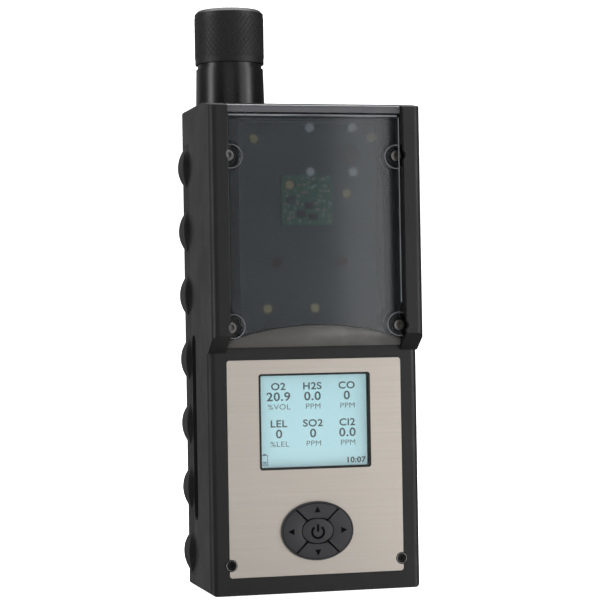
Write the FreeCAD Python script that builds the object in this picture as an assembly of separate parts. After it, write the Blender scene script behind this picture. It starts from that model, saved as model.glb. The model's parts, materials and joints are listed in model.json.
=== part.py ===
"""Portable gas detector with a sampling pump: one STEP file per piece.

Millimetres.  +X is the user's right when they face the display, +Y points to
the back of the case and +Z is up.  The origin is the middle of the bottom face.
"""
import FreeCAD, Part
import math
import os

V = FreeCAD.Vector

# ---- Case ---------------------------------------------------------------
case_width = 61.0
case_depth = 36.0            # lower part, front face to back face
case_height = 138.6          # bottom to roof, without the inlet
front_top_drop = 1.4         # roof at the lower part's front face, below the top
rail_proud = 7.0             # side rails stand this far in front of the lower face
rail_width = 5.1
rail_top_drop = 2.2          # rail top at its front edge, below the roof
rail_foot_z = 67.7           # rail starts to leave the lower front face
rail_slope_height = 4.8
front_corner_radius = 2.0
back_corner_radius = 5.0
edge_radius = 1.6            # long edges seen from the front
wall = 2.2
floor_wall = 2.4
grip_side_wall = 4.2         # back shell's sides carry the slot and the grips
split_y = -3.0               # joint between front shell and back shell

# ---- Side slot and grips ---------------------------------------------------
slot_width = 5.0
slot_depth = 1.5
slot_bottom_z = 19.7
slot_top_z = 72.9
slot_y = 1.5
grip_bump_count = 7
grip_bump_pitch = 18.6
grip_first_bump_z = 10.0
grip_bump_length = 12.0
grip_bump_width = 8.0
grip_bump_proud = 1.6
grip_thickness = 1.6
grip_y = 9.0
grip_strip_width = 8.6
grip_end_margin = 6.6

# ---- Face plate and its screws ---------------------------------------------
plate_bottom_z = 5.0
plate_height = 60.6
plate_thickness = 0.8
plate_proud = 0.15
plate_corner_radius = 0.8
plate_edge_gap = 0.1
plate_screw_z = 8.5          # above the bottom face
plate_screw_inset = 0.5      # screw axis inside the plate's edge
well_radius = 1.7
small_head_radius = 1.3
small_head_height = 0.9
small_shank_radius = 0.75
small_shank_length = 5.0
hole_play = 0.05             # around a screw's shank

# ---- Display ---------------------------------------------------------------
display_width = 32.5         # to the outside of the black gasket
display_height = 27.0
display_top_margin = 3.9     # plate's top edge to the gasket
gasket_lip = 0.6
lens_thickness = 1.0
lens_inset = 0.3             # lens face behind the plate's face
lcd_margin = 2.2             # panel is larger than the opening, each side
lcd_thickness = 2.2
backlight_thickness = 1.6

# ---- Keypad ----------------------------------------------------------------
keypad_half_width = 10.5
keypad_half_height = 8.3
keypad_z = 17.3
keypad_rim = 0.4
keypad_proud = 0.5
key_proud = 0.8
key_gap = 0.3
key_slot_width = 0.6
enter_half_width = 4.5
enter_half_height = 3.5
key_stem_radius = 1.1
key_travel = 0.6
key_stop_gap = 0.15          # stem end to dome with the key pressed
dome_radius = 2.1
dome_height = 0.4
flange_width = 2.2

# ---- Boards ----------------------------------------------------------------
board_thickness = 1.2
board_side_gap = 1.2
display_board_bottom_z = 10.0
spacer_height = 2.6
spacer_radius = 1.6
processor_half = 6.0
processor_height = 1.4
processor_z = 46.0
connector_half_width = 9.0
connector_z = 22.0
connector_length = 4.0
spring_leaf_rows = (4.0, 8.0)  # distance from the middle
spring_leaf_width = 1.8
spring_leaf_z = 60.0
spring_leaf_thickness = 0.6

# ---- Battery ---------------------------------------------------------------
cell_radius = 9.1
cell_length = 65.0
cell_gap = 0.8
tab_thickness = 0.3
pack_wall = 0.8
pack_bottom_z = 4.4
cover_thickness = 2.0
cover_margin = 2.4           # cover is larger than the pack, each side
cover_end_margin = 2.0
cover_gap = 0.15
cover_ledge = 2.4
cover_screw_length = 3.6
cover_screw_end = 6.0         # screw axis from the pack's ends
cover_groove_count = 5
cover_groove_pitch = 3.2
cover_groove_height = 1.2
cover_groove_depth = 0.6
cover_groove_half_width = 9.0
cover_groove_start = 14.0     # above the pack's bottom
shelf_thickness = 1.6

# ---- Pump module behind the smoked window ----------------------------------
module_strip = 3.6           # black strip between face plate and window
module_top_gap = 0.2         # module's top under the roof's front edge
lip_height = 2.2
lip_proud = 4.6
window_gap = 0.25
window_wall = 1.6
window_side_proud = 2.0      # window's side edges in front of the lower face
window_middle_proud = 4.0
window_slope_height = 5.9    # sloping foot, measured at the middle
window_foot_proud = 1.1
window_bevel = 0.8           # along the window's top edge
seal_thickness = 0.5
flange_thickness = 0.8
tray_wall = 0.8
tray_depth = 4.5
bay_side_margin = 2.8
bay_bottom_margin = 3.6
bay_top_margin = 1.2
window_screw_edge = 1.0      # screw axis inside the rails' inner faces
window_screw_low = 5.6       # above the module's bottom
window_screw_top = 14.2      # below the module's top
pocket_radius = 3.3
pocket_wall = 1.2
ear_thickness = 1.1
window_head_radius = 1.5
screw_head_radius = 1.8
screw_head_height = 1.4
screw_shank_radius = 1.0
window_screw_length = 9.0
rail_notch_gap = 0.1
boss_radius = 2.3

# ---- Sensors ---------------------------------------------------------------
sensor_radius = 9.9
sensor_length = 13.5
sensor_gap = 0.3
sensor_column_x = 12.5
manifold_thickness = 2.0
port_radius = 1.2
port_thickness = 0.6
port_spacing = 12.6
port_group_x = 7.1
port_group_z = 125.0
manifold_screw_radius = 1.2
module_board_width = 14.9
module_board_height = 14.1
module_board_shift = 0.35     # to the left of the middle
module_board_z = 103.6
module_board_thickness = 1.0
manifold_screw_height = 0.8
manifold_screw_spots = ((-15.6, 128.0), (-5.4, 115.0), (11.3, 112.6), (19.0, 128.6),
                        (-12.3, 80.0), (1.4, 80.0))

# ---- Pump, alarms and tubing -----------------------------------------------
pump_x = 9.0
pump_z = 92.0
motor_radius = 4.6
motor_length = 18.0
pump_base_thickness = 1.5
motor_shaft_radius = 0.8
eccentric_radius = 2.2
eccentric_offset = 0.4
eccentric_height = 2.6
pump_stroke = 0.4            # each way from the middle
yoke_clearance = 0.3
yoke_wall = 1.2
head_width = 18.0
head_depth = 11.0
head_height = 16.0
tube_radius = 1.6
tube_bore = 0.8
vibration_radius = 3.4
vibration_length = 9.0
weight_radius = 3.0
weight_length = 3.6
buzzer_radius = 6.0
buzzer_length = 4.0
led_radius = 1.5
led_length = 1.6
led_x = 9.6
led_z = 93.0

# ---- Inlet -----------------------------------------------------------------
inlet_edge = 12.9            # inlet's axis from the case's left side
inlet_back = 12.0            # and from its back face
barrel_radius = 10.0
barrel_top_radius = 9.75
barrel_height = 11.3
neck_radius = 9.3
neck_height = 1.4
cap_radius = 9.98
cap_seat_gap = 0.1           # cap to neck
cap_height = 16.0
cap_chamfer = 0.9
cap_dome = 0.5
spigot_radius = 5.0
spigot_height = 8.1
insert_gap = 0.35
insert_wall = 1.5
insert_roof = 2.6            # insert's top above the spigot
filter_thickness = 1.0
sample_bore_radius = 3.0
sample_bore_depth = 5.0
air_bore_radius = 1.0
stem_radius = 3.0
stem_shift = 1.5             # towards the back from the inlet's axis
stem_drop = 2.0              # stem's end under the roof's inner face

# ---- Housing screws and bottom fittings ------------------------------------
housing_screw_inset = 1.5    # from the back shell's inner side faces
housing_screw_bottom = 5.2
housing_screw_middle = 96.0
housing_screw_top = 7.0       # below the top of the case
housing_screw_length = 11.0
housing_head_y = 3.0
contact_radius = 1.6
contact_pitch = 6.0
contact_y = 10.0
contact_depth = 1.2
ir_width = 12.0
ir_depth = 5.0
ir_y = -9.0

# ---- Belt clip -------------------------------------------------------------
clip_width = 17.0
clip_base_height = 34.0
clip_base_thickness = 1.6
clip_base_z = 84.0
clip_pin_z = 108.0
clip_pin_offset = 6.4        # pin axis behind the back face
clip_pin_radius = 1.3
clip_bore_play = 0.35
clip_ear_thickness = 1.8
clip_ear_radius = 3.2
clip_arm_thickness = 1.8
clip_arm_offset = 10.2       # arm's inner face behind the back face
clip_arm_below = 44.0        # arm's reach under the pin
clip_arm_above = 15.0
clip_hook_gap = 1.5
clip_screw_margin = 4.0
spring_wire = 0.45
spring_play = 0.03
spring_turns = 5

# ---- Worked out from the values above --------------------------------------
half_width = case_width / 2
front_top_height = case_height - front_top_drop
module_top_z = front_top_height - module_top_gap
front_y = -case_depth / 2
back_y = case_depth / 2
rail_y = front_y - rail_proud
rail_inner_x = half_width - rail_width
front_inner_y = front_y + wall
back_inner_y = back_y - wall
front_cavity_x = half_width - floor_wall
back_cavity_x = half_width - grip_side_wall
cavity_top_z = front_top_height - wall
plate_half_width = rail_inner_x - plate_edge_gap
plate_top_z = plate_bottom_z + plate_height
plate_y = front_y - plate_proud
plate_back_y = plate_y + plate_thickness
plate_screw_x = plate_half_width - plate_screw_inset
display_top_z = plate_top_z - display_top_margin
display_z = display_top_z - display_height / 2
module_bottom_z = plate_top_z + module_strip
window_top_z = module_top_z - lip_height - window_gap
window_half_width = rail_inner_x - window_gap
window_back_y = front_y - seal_thickness
window_screw_x = rail_inner_x - window_screw_edge
window_screw_rows = (module_bottom_z + window_screw_low, module_top_z - window_screw_top)
ear_y = window_back_y - ear_thickness
bay_half_width = rail_inner_x - bay_side_margin - window_head_radius
bay_bottom_z = module_bottom_z + bay_bottom_margin
bay_top_z = window_top_z - bay_top_margin
recess_top_z = module_top_z - lip_height / 2
lcd_back_y = front_inner_y + lcd_thickness
display_board_y = lcd_back_y + backlight_thickness
dome_y = display_board_y - dome_height
key_rest_gap = key_travel + key_stop_gap
main_board_y = display_board_y + board_thickness + spacer_height
main_board_back_y = main_board_y + board_thickness
pack_half_width = 2 * cell_radius + cell_gap / 2 + pack_wall
pack_back_y = back_y - cover_thickness
pack_front_y = pack_back_y - 2 * cell_radius - 2 * pack_wall - 2 * cell_gap / 4
pack_top_z = pack_bottom_z + cell_length + 2 * (tab_thickness + pack_wall)
cell_y = (pack_front_y + pack_back_y) / 2
cell_x = cell_radius + cell_gap / 2
manifold_y = front_y + tray_depth
sensor_y = manifold_y + manifold_thickness
sensor_pitch = 2 * sensor_radius + sensor_gap
sensor_board_y = sensor_y + sensor_length
sensor_board_back_y = sensor_board_y + board_thickness
sensor_board_bottom_z = pack_top_z + shelf_thickness
sensor_row_z = sensor_board_bottom_z + sensor_radius + sensor_gap
sensor_board_top_z = sensor_row_z + 2 * sensor_pitch + 2.0
housing_screw_x = back_cavity_x - housing_screw_inset
pump_y = sensor_board_back_y + motor_radius + 0.9
pump_base_z = pump_z + motor_length
eccentric_z = pump_base_z + pump_base_thickness + 0.6
motor_y = pump_y
clip_pin_y = back_y + clip_pin_offset
inlet_x = inlet_edge - half_width
inlet_y = back_y - inlet_back
stem_y = inlet_y + stem_shift
barrel_top_z = case_height + barrel_height
cap_bottom_z = barrel_top_z + neck_height + cap_seat_gap
cap_top_z = cap_bottom_z + cap_height
spigot_top_z = barrel_top_z + spigot_height
insert_top_z = spigot_top_z + insert_roof
housing_screw_rows = (housing_screw_bottom, housing_screw_middle, case_height - housing_screw_top)
clip_arm_y = back_y + clip_arm_offset


# ---- Shape helpers ---------------------------------------------------------
def box(x0, x1, y0, y1, z0, z1):
    return Part.makeBox(x1 - x0, y1 - y0, z1 - z0, V(x0, y0, z0))


def rod_x(radius, x0, x1, y, z):
    return Part.makeCylinder(radius, x1 - x0, V(x0, y, z), V(1, 0, 0))


def rod_y(radius, x, y0, y1, z):
    return Part.makeCylinder(radius, y1 - y0, V(x, y0, z), V(0, 1, 0))


def rod_z(radius, x, y, z0, z1):
    return Part.makeCylinder(radius, z1 - z0, V(x, y, z0), V(0, 0, 1))


def slab(half_x, z0, z1, y0, y1, radius):
    """Rectangle in XZ with four rounded corners, extruded along Y."""
    solid = box(-half_x, half_x, y0, y1, z0, z1)
    along_y = [e for e in solid.Edges if abs(e.tangentAt(e.FirstParameter).y) > 0.9]
    return solid.makeFillet(radius, along_y)


def ellipse_slab(half_x, half_z, centre_z, y0, y1):
    ellipse = Part.Ellipse(V(half_x, y0, centre_z), V(0, y0, centre_z + half_z), V(0, y0, centre_z))
    face = Part.Face(Part.Wire(ellipse.toShape()))
    return face.extrude(V(0, y1 - y0, 0))


def prism_yz(points, x0, x1):
    """Closed outline of (y, z) points, extruded along X."""
    wire = Part.makePolygon([V(x0, y, z) for y, z in points + points[:1]])
    return Part.Face(wire).extrude(V(x1 - x0, 0, 0))


def fuse(shapes):
    whole = shapes[0].multiFuse(shapes[1:]) if len(shapes) > 1 else shapes[0]
    return whole.removeSplitter()


def cut(shape, tools):
    return shape.cut(Part.makeCompound(tools)).removeSplitter()


def mirror_x(shape):
    return shape.mirror(V(0, 0, 0), V(1, 0, 0))


def both_sides(shape):
    return [shape, mirror_x(shape)]


def save(name, shape):
    shape.exportStep("parts/" + name + ".step")


# ---- Case shells -----------------------------------------------------------
def upright_block(y_front):
    """Full-height block with rounded upright corners."""
    block = box(-half_width, half_width, y_front, back_y, 0, case_height)
    upright = [e for e in block.Edges if abs(e.tangentAt(e.FirstParameter).z) > 0.9]
    front = [e for e in upright if e.CenterOfMass.y < 0]
    back = [e for e in upright if e.CenterOfMass.y > 0]
    block = block.makeFillet(front_corner_radius, front)
    back = [e for e in block.Edges if abs(e.CenterOfMass.y - back_y) < 0.01
            and abs(e.tangentAt(e.FirstParameter).z) > 0.9 and e.Length > case_height / 2]
    return block.makeFillet(back_corner_radius, back)


def roof_cut(y_front, z_front):
    """Everything above the roof, which falls in a soft curve to the front edge."""
    start = V(-case_width, y_front, z_front)
    crest = V(-case_width, 0, case_height)
    middle_y = y_front * 0.6
    middle_z = z_front + (case_height - z_front) * 0.72
    top = case_height + 10
    curve = Part.Arc(start, V(-case_width, middle_y, middle_z), crest).toShape()
    lines = Part.makePolygon([crest, V(-case_width, back_y + 5, case_height),
                              V(-case_width, back_y + 5, top),
                              V(-case_width, y_front - 5, top),
                              V(-case_width, y_front - 5, z_front), start])
    face = Part.Face(Part.Wire([curve] + lines.Edges))
    return face.extrude(V(2 * case_width, 0, 0))


def case_envelope():
    rail_outline = [(front_y, rail_foot_z), (rail_y, rail_foot_z + rail_slope_height),
                    (rail_y, case_height),
                    (back_y, case_height), (back_y, rail_foot_z)]
    rails = upright_block(rail_y).common(prism_yz(rail_outline, -half_width, half_width))
    whole = fuse([upright_block(front_y), rails])
    bay = box(-rail_inner_x, rail_inner_x, rail_y - 1, front_y, 0, case_height + 1)
    whole = cut(whole, [bay, roof_cut(rail_y, case_height - rail_top_drop)])
    outline = slab(half_width, 0, case_height, rail_y - 1, back_y + 1, edge_radius)
    return whole.common(outline)


def side_slot():
    z0 = slot_bottom_z + slot_width / 2
    z1 = slot_top_z - slot_width / 2
    x0 = half_width - slot_depth
    ends = [rod_x(slot_width / 2, x0, half_width + 1, slot_y, z) for z in (z0, z1)]
    return fuse([box(x0, half_width + 1, slot_y - slot_width / 2, slot_y + slot_width / 2, z0,
                     z1)] + ends)


def grip_z_range():
    low = grip_first_bump_z - grip_end_margin
    high = grip_first_bump_z + (grip_bump_count - 1) * grip_bump_pitch + grip_end_margin
    return low, high


def grip_strip(x0, x1):
    low, high = grip_z_range()
    return box(x0, x1, grip_y - grip_strip_width / 2, grip_y + grip_strip_width / 2, low, high)


def side_grip():
    """Rubber strip with a row of lens-shaped pads; the right-hand one."""
    x0 = half_width - grip_thickness
    rise = grip_bump_proud
    chord = grip_bump_length / 2
    bow = (chord * chord + rise * rise) / (2 * rise)
    half = grip_bump_width / 2
    lens_bow = (chord * chord + half * half) / (2 * half)
    shapes = [grip_strip(x0, half_width)]
    for i in range(grip_bump_count):
        z = grip_first_bump_z + i * grip_bump_pitch
        pad = rod_y(bow, half_width + rise - bow, grip_y - half, grip_y + half, z)
        for side in (-1, 1):
            centre = grip_y + side * (lens_bow - half)
            pad = pad.common(rod_x(lens_bow, x0, half_width + rise, centre, z))
        shapes.append(pad.common(box(half_width - 0.2, half_width + 2 * rise, grip_y - half,
                                     grip_y + half,
                                     z - chord, z + chord)))
    return fuse(shapes)


def face_recess():
    z0 = plate_bottom_z - plate_edge_gap
    z1 = plate_top_z + plate_edge_gap
    return slab(plate_half_width + plate_edge_gap, z0, z1, plate_y - 1, plate_back_y,
                plate_corner_radius)


def housing_boss(y0, y1, z):
    return rod_y(boss_radius, housing_screw_x, y0, y1, z)


def window_boss(z):
    return rod_y(boss_radius, window_screw_x, front_inner_y - 0.1,
                 front_inner_y + window_screw_length - 4.0, z)


def front_housing(envelope):
    shell = envelope.common(box(-case_width, case_width, rail_y - 1, split_y, -1, case_height + 1))
    cavity = box(-front_cavity_x, front_cavity_x, front_inner_y, split_y + 1, floor_wall,
                 cavity_top_z)
    shell = shell.cut(cavity)
    added = []
    for z in housing_screw_rows:
        added += both_sides(housing_boss(front_inner_y - 0.1, split_y, z))
    for z in window_screw_rows:
        added += both_sides(window_boss(z))
    shell = fuse([shell] + added)
    removed = [face_recess(),
               slab(display_width / 2, display_z - display_height / 2,
                    display_z + display_height / 2,
                    front_y - 1, front_inner_y + 0.5, plate_corner_radius),
               ellipse_slab(keypad_half_width, keypad_half_height, keypad_z, front_y - 1,
                            front_inner_y + 0.5),
               box(-bay_half_width, bay_half_width, front_y - 1, front_inner_y + 0.5, bay_bottom_z,
                   bay_top_z),
               box(-bay_half_width - flange_width, bay_half_width + flange_width, front_y - 1,
                   front_y + flange_thickness, bay_bottom_z - flange_width, recess_top_z)]
    for z in housing_screw_rows:
        removed += both_sides(rod_y(screw_shank_radius + hole_play, housing_screw_x,
                                    housing_head_y - housing_screw_length, split_y + 1, z))
    for z in window_screw_rows:
        hole_end = ear_y + window_screw_length
        removed += both_sides(rod_y(screw_shank_radius + hole_play, window_screw_x, front_y - 1,
                                    hole_end, z))
        removed += both_sides(rod_y(window_head_radius + rail_notch_gap, window_screw_x, rail_y - 1,
                                    ear_y, z))
        removed += both_sides(rod_y(pocket_radius, window_screw_x, rail_y + edge_radius, front_y,
                                    z))
    removed += both_sides(rod_y(well_radius, plate_screw_x, plate_back_y - 1,
                                plate_back_y + small_head_height,
                                plate_screw_z))
    removed += both_sides(rod_y(small_shank_radius + hole_play, plate_screw_x, plate_back_y,
                                plate_back_y + small_shank_length, plate_screw_z))
    removed.append(ir_window_block())
    return cut(shell, removed)


def back_housing(envelope):
    shell = envelope.common(box(-case_width, case_width, split_y, back_y + 1, -1, case_height + 1))
    cavity = box(-back_cavity_x, back_cavity_x, split_y - 1, back_inner_y, floor_wall, cavity_top_z)
    shell = shell.cut(cavity)
    shelf = box(-back_cavity_x - 0.1, back_cavity_x + 0.1, split_y, back_inner_y + 0.1, pack_top_z,
                pack_top_z + shelf_thickness)
    sill = box(-pack_half_width, pack_half_width, split_y, back_inner_y + 0.1, floor_wall - 0.1,
               pack_bottom_z)
    ledge_x = pack_half_width + cover_margin + cover_gap
    ledge = box(-ledge_x, ledge_x, pack_back_y - cover_ledge, back_inner_y + 0.1, floor_wall - 0.1,
                pack_top_z + cover_end_margin + cover_gap)
    added = [shelf, sill, ledge]
    for z in housing_screw_rows:
        added += both_sides(housing_boss(split_y, back_inner_y + 0.1, z))
    shell = fuse([shell] + added)
    strip = grip_strip(half_width - grip_thickness, half_width + 1)
    removed = both_sides(side_slot()) + both_sides(strip)
    for z in housing_screw_rows:
        removed += both_sides(rod_y(screw_head_radius + 0.3, housing_screw_x,
                                    housing_head_y - screw_head_height,
                                    back_y + 1, z))
        removed += both_sides(rod_y(screw_shank_radius + hole_play, housing_screw_x, split_y - 1,
                                    housing_head_y, z))
    removed.append(battery_opening())
    removed.append(cover_block(cover_gap))
    removed += [rod_y(small_shank_radius + hole_play, x, back_y - cover_screw_length, back_y, z)
                for x, z in cover_screw_spots()]
    removed += [rod_z(contact_radius, x, contact_y, -1, contact_depth) for x in contact_positions()]
    removed.append(rod_z(stem_radius, inlet_x, stem_y, cavity_top_z - 1, case_height + 1))
    removed += clip_screw_holes()
    return cut(shell, removed)


def housing_seal():
    """Thin seal in the joint between the shells, let into the front shell's edge."""
    outer = box(-front_cavity_x - 0.8, front_cavity_x + 0.8, split_y - 0.8, split_y,
                floor_wall - 0.9,
                cavity_top_z + 0.9)
    inner = box(-front_cavity_x, front_cavity_x, split_y - 1, split_y + 1, floor_wall, cavity_top_z)
    return outer.cut(inner)


def housing_screws():
    screws = []
    for z in housing_screw_rows:
        head = rod_y(screw_head_radius, housing_screw_x, housing_head_y - screw_head_height,
                     housing_head_y, z)
        shank = rod_y(screw_shank_radius, housing_screw_x, housing_head_y - housing_screw_length,
                      housing_head_y, z)
        socket = rod_y(screw_shank_radius * 0.8, housing_screw_x, housing_head_y - 0.8,
                       housing_head_y + 1, z)
        screws += both_sides(fuse([head, shank]).cut(socket))
    return Part.makeCompound(screws)


# ---- Face plate, display and keypad ----------------------------------------
def face_plate():
    plate = slab(plate_half_width, plate_bottom_z, plate_top_z, plate_y, plate_back_y,
                 plate_corner_radius)
    removed = [slab(display_width / 2, display_z - display_height / 2,
                    display_z + display_height / 2,
                    plate_y - 1, plate_back_y + 1, plate_corner_radius),
               ellipse_slab(keypad_half_width, keypad_half_height, keypad_z, plate_y - 1,
                            plate_back_y + 1)]
    removed += both_sides(rod_y(well_radius, plate_screw_x, plate_y - 1, plate_back_y + 1,
                                plate_screw_z))
    return cut(plate, removed)


def plate_screws():
    head = rod_y(small_head_radius, plate_screw_x, plate_back_y, plate_back_y + small_head_height,
                 plate_screw_z)
    shank = rod_y(small_shank_radius, plate_screw_x, plate_back_y + small_head_height - 0.1,
                  plate_back_y + small_shank_length, plate_screw_z)
    socket = rod_y(small_shank_radius * 0.8, plate_screw_x, plate_back_y - 1, plate_back_y + 0.5,
                   plate_screw_z)
    return Part.makeCompound(both_sides(fuse([head, shank]).cut(socket)))


def display_slab(inset, y0, y1, radius):
    half = display_width / 2 - inset
    tall = display_height / 2 - inset
    return slab(half, display_z - tall, display_z + tall, y0, y1, radius)


def display_gasket():
    ring = display_slab(0, plate_y, front_inner_y, plate_corner_radius)
    return ring.cut(display_slab(gasket_lip, plate_y - 1, front_inner_y + 1, 0.4))


def display_lens():
    y0 = plate_y + lens_inset
    return display_slab(gasket_lip, y0, y0 + lens_thickness, 0.4)


def lcd_module():
    """Glass panel on its wider backlight block."""
    panel = display_slab(-lcd_margin, front_inner_y, lcd_back_y, 0.5)
    return fuse([panel, display_slab(-lcd_margin - 0.6, lcd_back_y, display_board_y, 0.5)])


def keypad_frame():
    """Rubber rim around the keys, with a flange behind the front wall."""
    rim = ellipse_slab(keypad_half_width, keypad_half_height, keypad_z, plate_y - keypad_proud,
                       front_inner_y + 0.1)
    flange = ellipse_slab(keypad_half_width + flange_width, keypad_half_height + flange_width / 2,
                          keypad_z,
                          front_inner_y, front_inner_y + 0.9)
    hole = ellipse_slab(keypad_half_width - keypad_rim, keypad_half_height - keypad_rim, keypad_z,
                        plate_y - 2, front_inner_y + 2)
    return fuse([rim, flange]).cut(hole)


def key_ring_quarter(direction):
    """Arrow key in one of four directions, as (x, z)."""
    dx, dz = direction
    y0 = plate_y - key_proud
    y1 = front_inner_y + 0.3
    outer_x = keypad_half_width - keypad_rim - key_gap
    outer_z = keypad_half_height - keypad_rim - key_gap
    ring = ellipse_slab(outer_x, outer_z, keypad_z, y0, y1)
    ring = ring.cut(ellipse_slab(enter_half_width + key_gap, enter_half_height + key_gap, keypad_z,
                                 y0 - 1, y1 + 1))
    reach = 2 * keypad_half_width
    lift = key_slot_width / 2 * math.sqrt(2)
    corners = [(0, 0), (reach, reach), (reach, -reach)]
    wedge = Part.makePolygon([V(x + lift, y0 - 1, z) for x, z in corners + corners[:1]])
    wedge = Part.Face(wedge).extrude(V(0, y1 - y0 + 2, 0))
    wedge.rotate(V(0, 0, 0), V(0, -1, 0), math.degrees(math.atan2(dz, dx)))
    wedge.translate(V(0, 0, keypad_z))
    key = ring.common(wedge)
    middle_x = dx * (enter_half_width + outer_x) / 2
    middle_z = dz * (enter_half_height + outer_z) / 2
    stem_end = dome_y - key_rest_gap
    stem = rod_y(key_stem_radius, middle_x, y1 - 0.1, stem_end, keypad_z + middle_z)
    return fuse([key, stem])


def key_enter():
    y0 = plate_y - key_proud
    y1 = front_inner_y + 0.3
    key = ellipse_slab(enter_half_width, enter_half_height, keypad_z, y0, y1)
    stem = rod_y(key_stem_radius, 0, y1 - 0.1, dome_y - key_rest_gap, keypad_z)
    return fuse([key, stem])


def key_domes():
    across = (enter_half_width + keypad_half_width - keypad_rim - key_gap) / 2
    along = (enter_half_height + keypad_half_height - keypad_rim - key_gap) / 2
    spots = [(0, 0), (across, 0), (-across, 0), (0, along), (0, -along)]
    domes = [Part.makeCone(dome_radius, dome_radius * 0.6, dome_height,
                           V(x, display_board_y, keypad_z + z),
                           V(0, -1, 0)) for x, z in spots]
    return Part.makeCompound(domes)


# ---- Boards ----------------------------------------------------------------
def display_board():
    half = front_cavity_x - board_side_gap
    board = box(-half, half, display_board_y, display_board_y + board_thickness,
                display_board_bottom_z,
                plate_top_z)
    return board


def main_board():
    """Board with its processor and the connector to the display board."""
    half = back_cavity_x - board_side_gap
    board = box(-half, half, main_board_y, main_board_back_y, display_board_bottom_z, plate_top_z)
    processor = box(-processor_half, processor_half, main_board_y - processor_height, main_board_y,
                    processor_z - processor_half, processor_z + processor_half)
    connector = box(-connector_half_width, connector_half_width, display_board_y + board_thickness,
                    main_board_y, connector_z, connector_z + connector_length)
    return fuse([board, processor, connector])


def board_spacers():
    x = back_cavity_x - board_side_gap - 2 * spacer_radius
    low = display_board_bottom_z + 2 * spacer_radius
    high = plate_top_z - 2 * spacer_radius
    y0 = display_board_y + board_thickness
    spacers = []
    for z in (low, high):
        spacers += both_sides(rod_y(spacer_radius, x, y0, main_board_y, z))
    return Part.makeCompound(spacers)


def battery_springs():
    """Leaf contacts between the main board and the battery pack."""
    leaves = []
    for x in spring_leaf_rows:
        leaves += both_sides(box(x - spring_leaf_width / 2, x + spring_leaf_width / 2,
                                 main_board_back_y,
                                 pack_front_y, spring_leaf_z,
                                 spring_leaf_z + spring_leaf_thickness))
    return Part.makeCompound(leaves)


# ---- Battery ---------------------------------------------------------------
def cover_block(gap):
    half = pack_half_width + cover_margin + gap
    return slab(half, pack_bottom_z - cover_end_margin - gap, pack_top_z + cover_end_margin + gap,
                pack_back_y, back_y + (1 if gap else 0), 1.5)


def battery_opening():
    return box(-pack_half_width - cover_gap, pack_half_width + cover_gap,
               pack_back_y - cover_ledge - 1,
               back_y + 1, pack_bottom_z, pack_top_z)


def cover_screw_spots():
    x = pack_half_width + cover_margin - small_head_radius - cover_gap
    rows = (pack_bottom_z + cover_screw_end, pack_top_z - cover_screw_end)
    return [(side * x, z) for side in (-1, 1) for z in rows]


def battery_cover():
    grooves = []
    for i in range(cover_groove_count):
        z = pack_bottom_z + cover_groove_start + i * cover_groove_pitch
        grooves.append(box(-cover_groove_half_width, cover_groove_half_width,
                           back_y - cover_groove_depth,
                           back_y + 1, z, z + cover_groove_height))
    holes = [rod_y(small_head_radius, x, back_y - small_head_height, back_y + 1, z) for x,
             z in cover_screw_spots()]
    holes += [rod_y(small_shank_radius + hole_play, x, pack_back_y - 1, back_y, z) for x,
              z in cover_screw_spots()]
    return cut(cover_block(0), grooves + holes)


def cover_screws():
    screws = []
    for x, z in cover_screw_spots():
        head = rod_y(small_head_radius, x, back_y - small_head_height, back_y - 0.1, z)
        shank = rod_y(small_shank_radius, x, back_y - cover_screw_length,
                      back_y - small_head_height + 0.1, z)
        socket = rod_y(small_shank_radius * 0.8, x, back_y - 0.6, back_y + 1, z)
        screws.append(fuse([head, shank]).cut(socket))
    return Part.makeCompound(screws)


def battery_case():
    outer = box(-pack_half_width, pack_half_width, pack_front_y, pack_back_y, pack_bottom_z,
                pack_top_z)
    inner = box(-pack_half_width + pack_wall, pack_half_width - pack_wall, pack_front_y + pack_wall,
                pack_back_y - pack_wall, pack_bottom_z + pack_wall, pack_top_z - pack_wall)
    return outer.cut(inner)


def battery_cells():
    """Two cells joined by welded strips at both ends."""
    z0 = pack_bottom_z + pack_wall
    z1 = z0 + tab_thickness + cell_length
    cells = [rod_z(cell_radius, x, cell_y, z0 + tab_thickness, z1) for x in (-cell_x, cell_x)]
    across = cell_x + 4
    strips = [box(-across, across, cell_y - 3, cell_y + 3, z, z + tab_thickness) for z in (z0, z1)]
    return fuse(cells + strips)


# ---- Pump module -----------------------------------------------------------
def pump_frame():
    """Tray in the front opening, with the black lip over the window."""
    flange = box(-bay_half_width - flange_width, bay_half_width + flange_width, front_y,
                 front_y + flange_thickness,
                 bay_bottom_z - flange_width, recess_top_z)
    tray = box(-bay_half_width, bay_half_width, front_y, manifold_y, bay_bottom_z, bay_top_z)
    lip = box(-window_half_width, window_half_width, front_y - lip_proud, front_y,
              module_top_z - lip_height,
              module_top_z)
    inside = box(-bay_half_width + tray_wall, bay_half_width - tray_wall, front_y - lip_proud,
                 manifold_y + 1,
                 bay_bottom_z + tray_wall, bay_top_z - tray_wall)
    front_edges = [e for e in lip.Edges if e.CenterOfMass.y < front_y - lip_proud + 0.01
                   and abs(e.tangentAt(e.FirstParameter).x) > 0.9 and e.CenterOfMass.z > module_top_z - 0.1]
    lip = lip.makeFillet(1.0, front_edges)
    return fuse([flange, tray, lip]).cut(inside)


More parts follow.
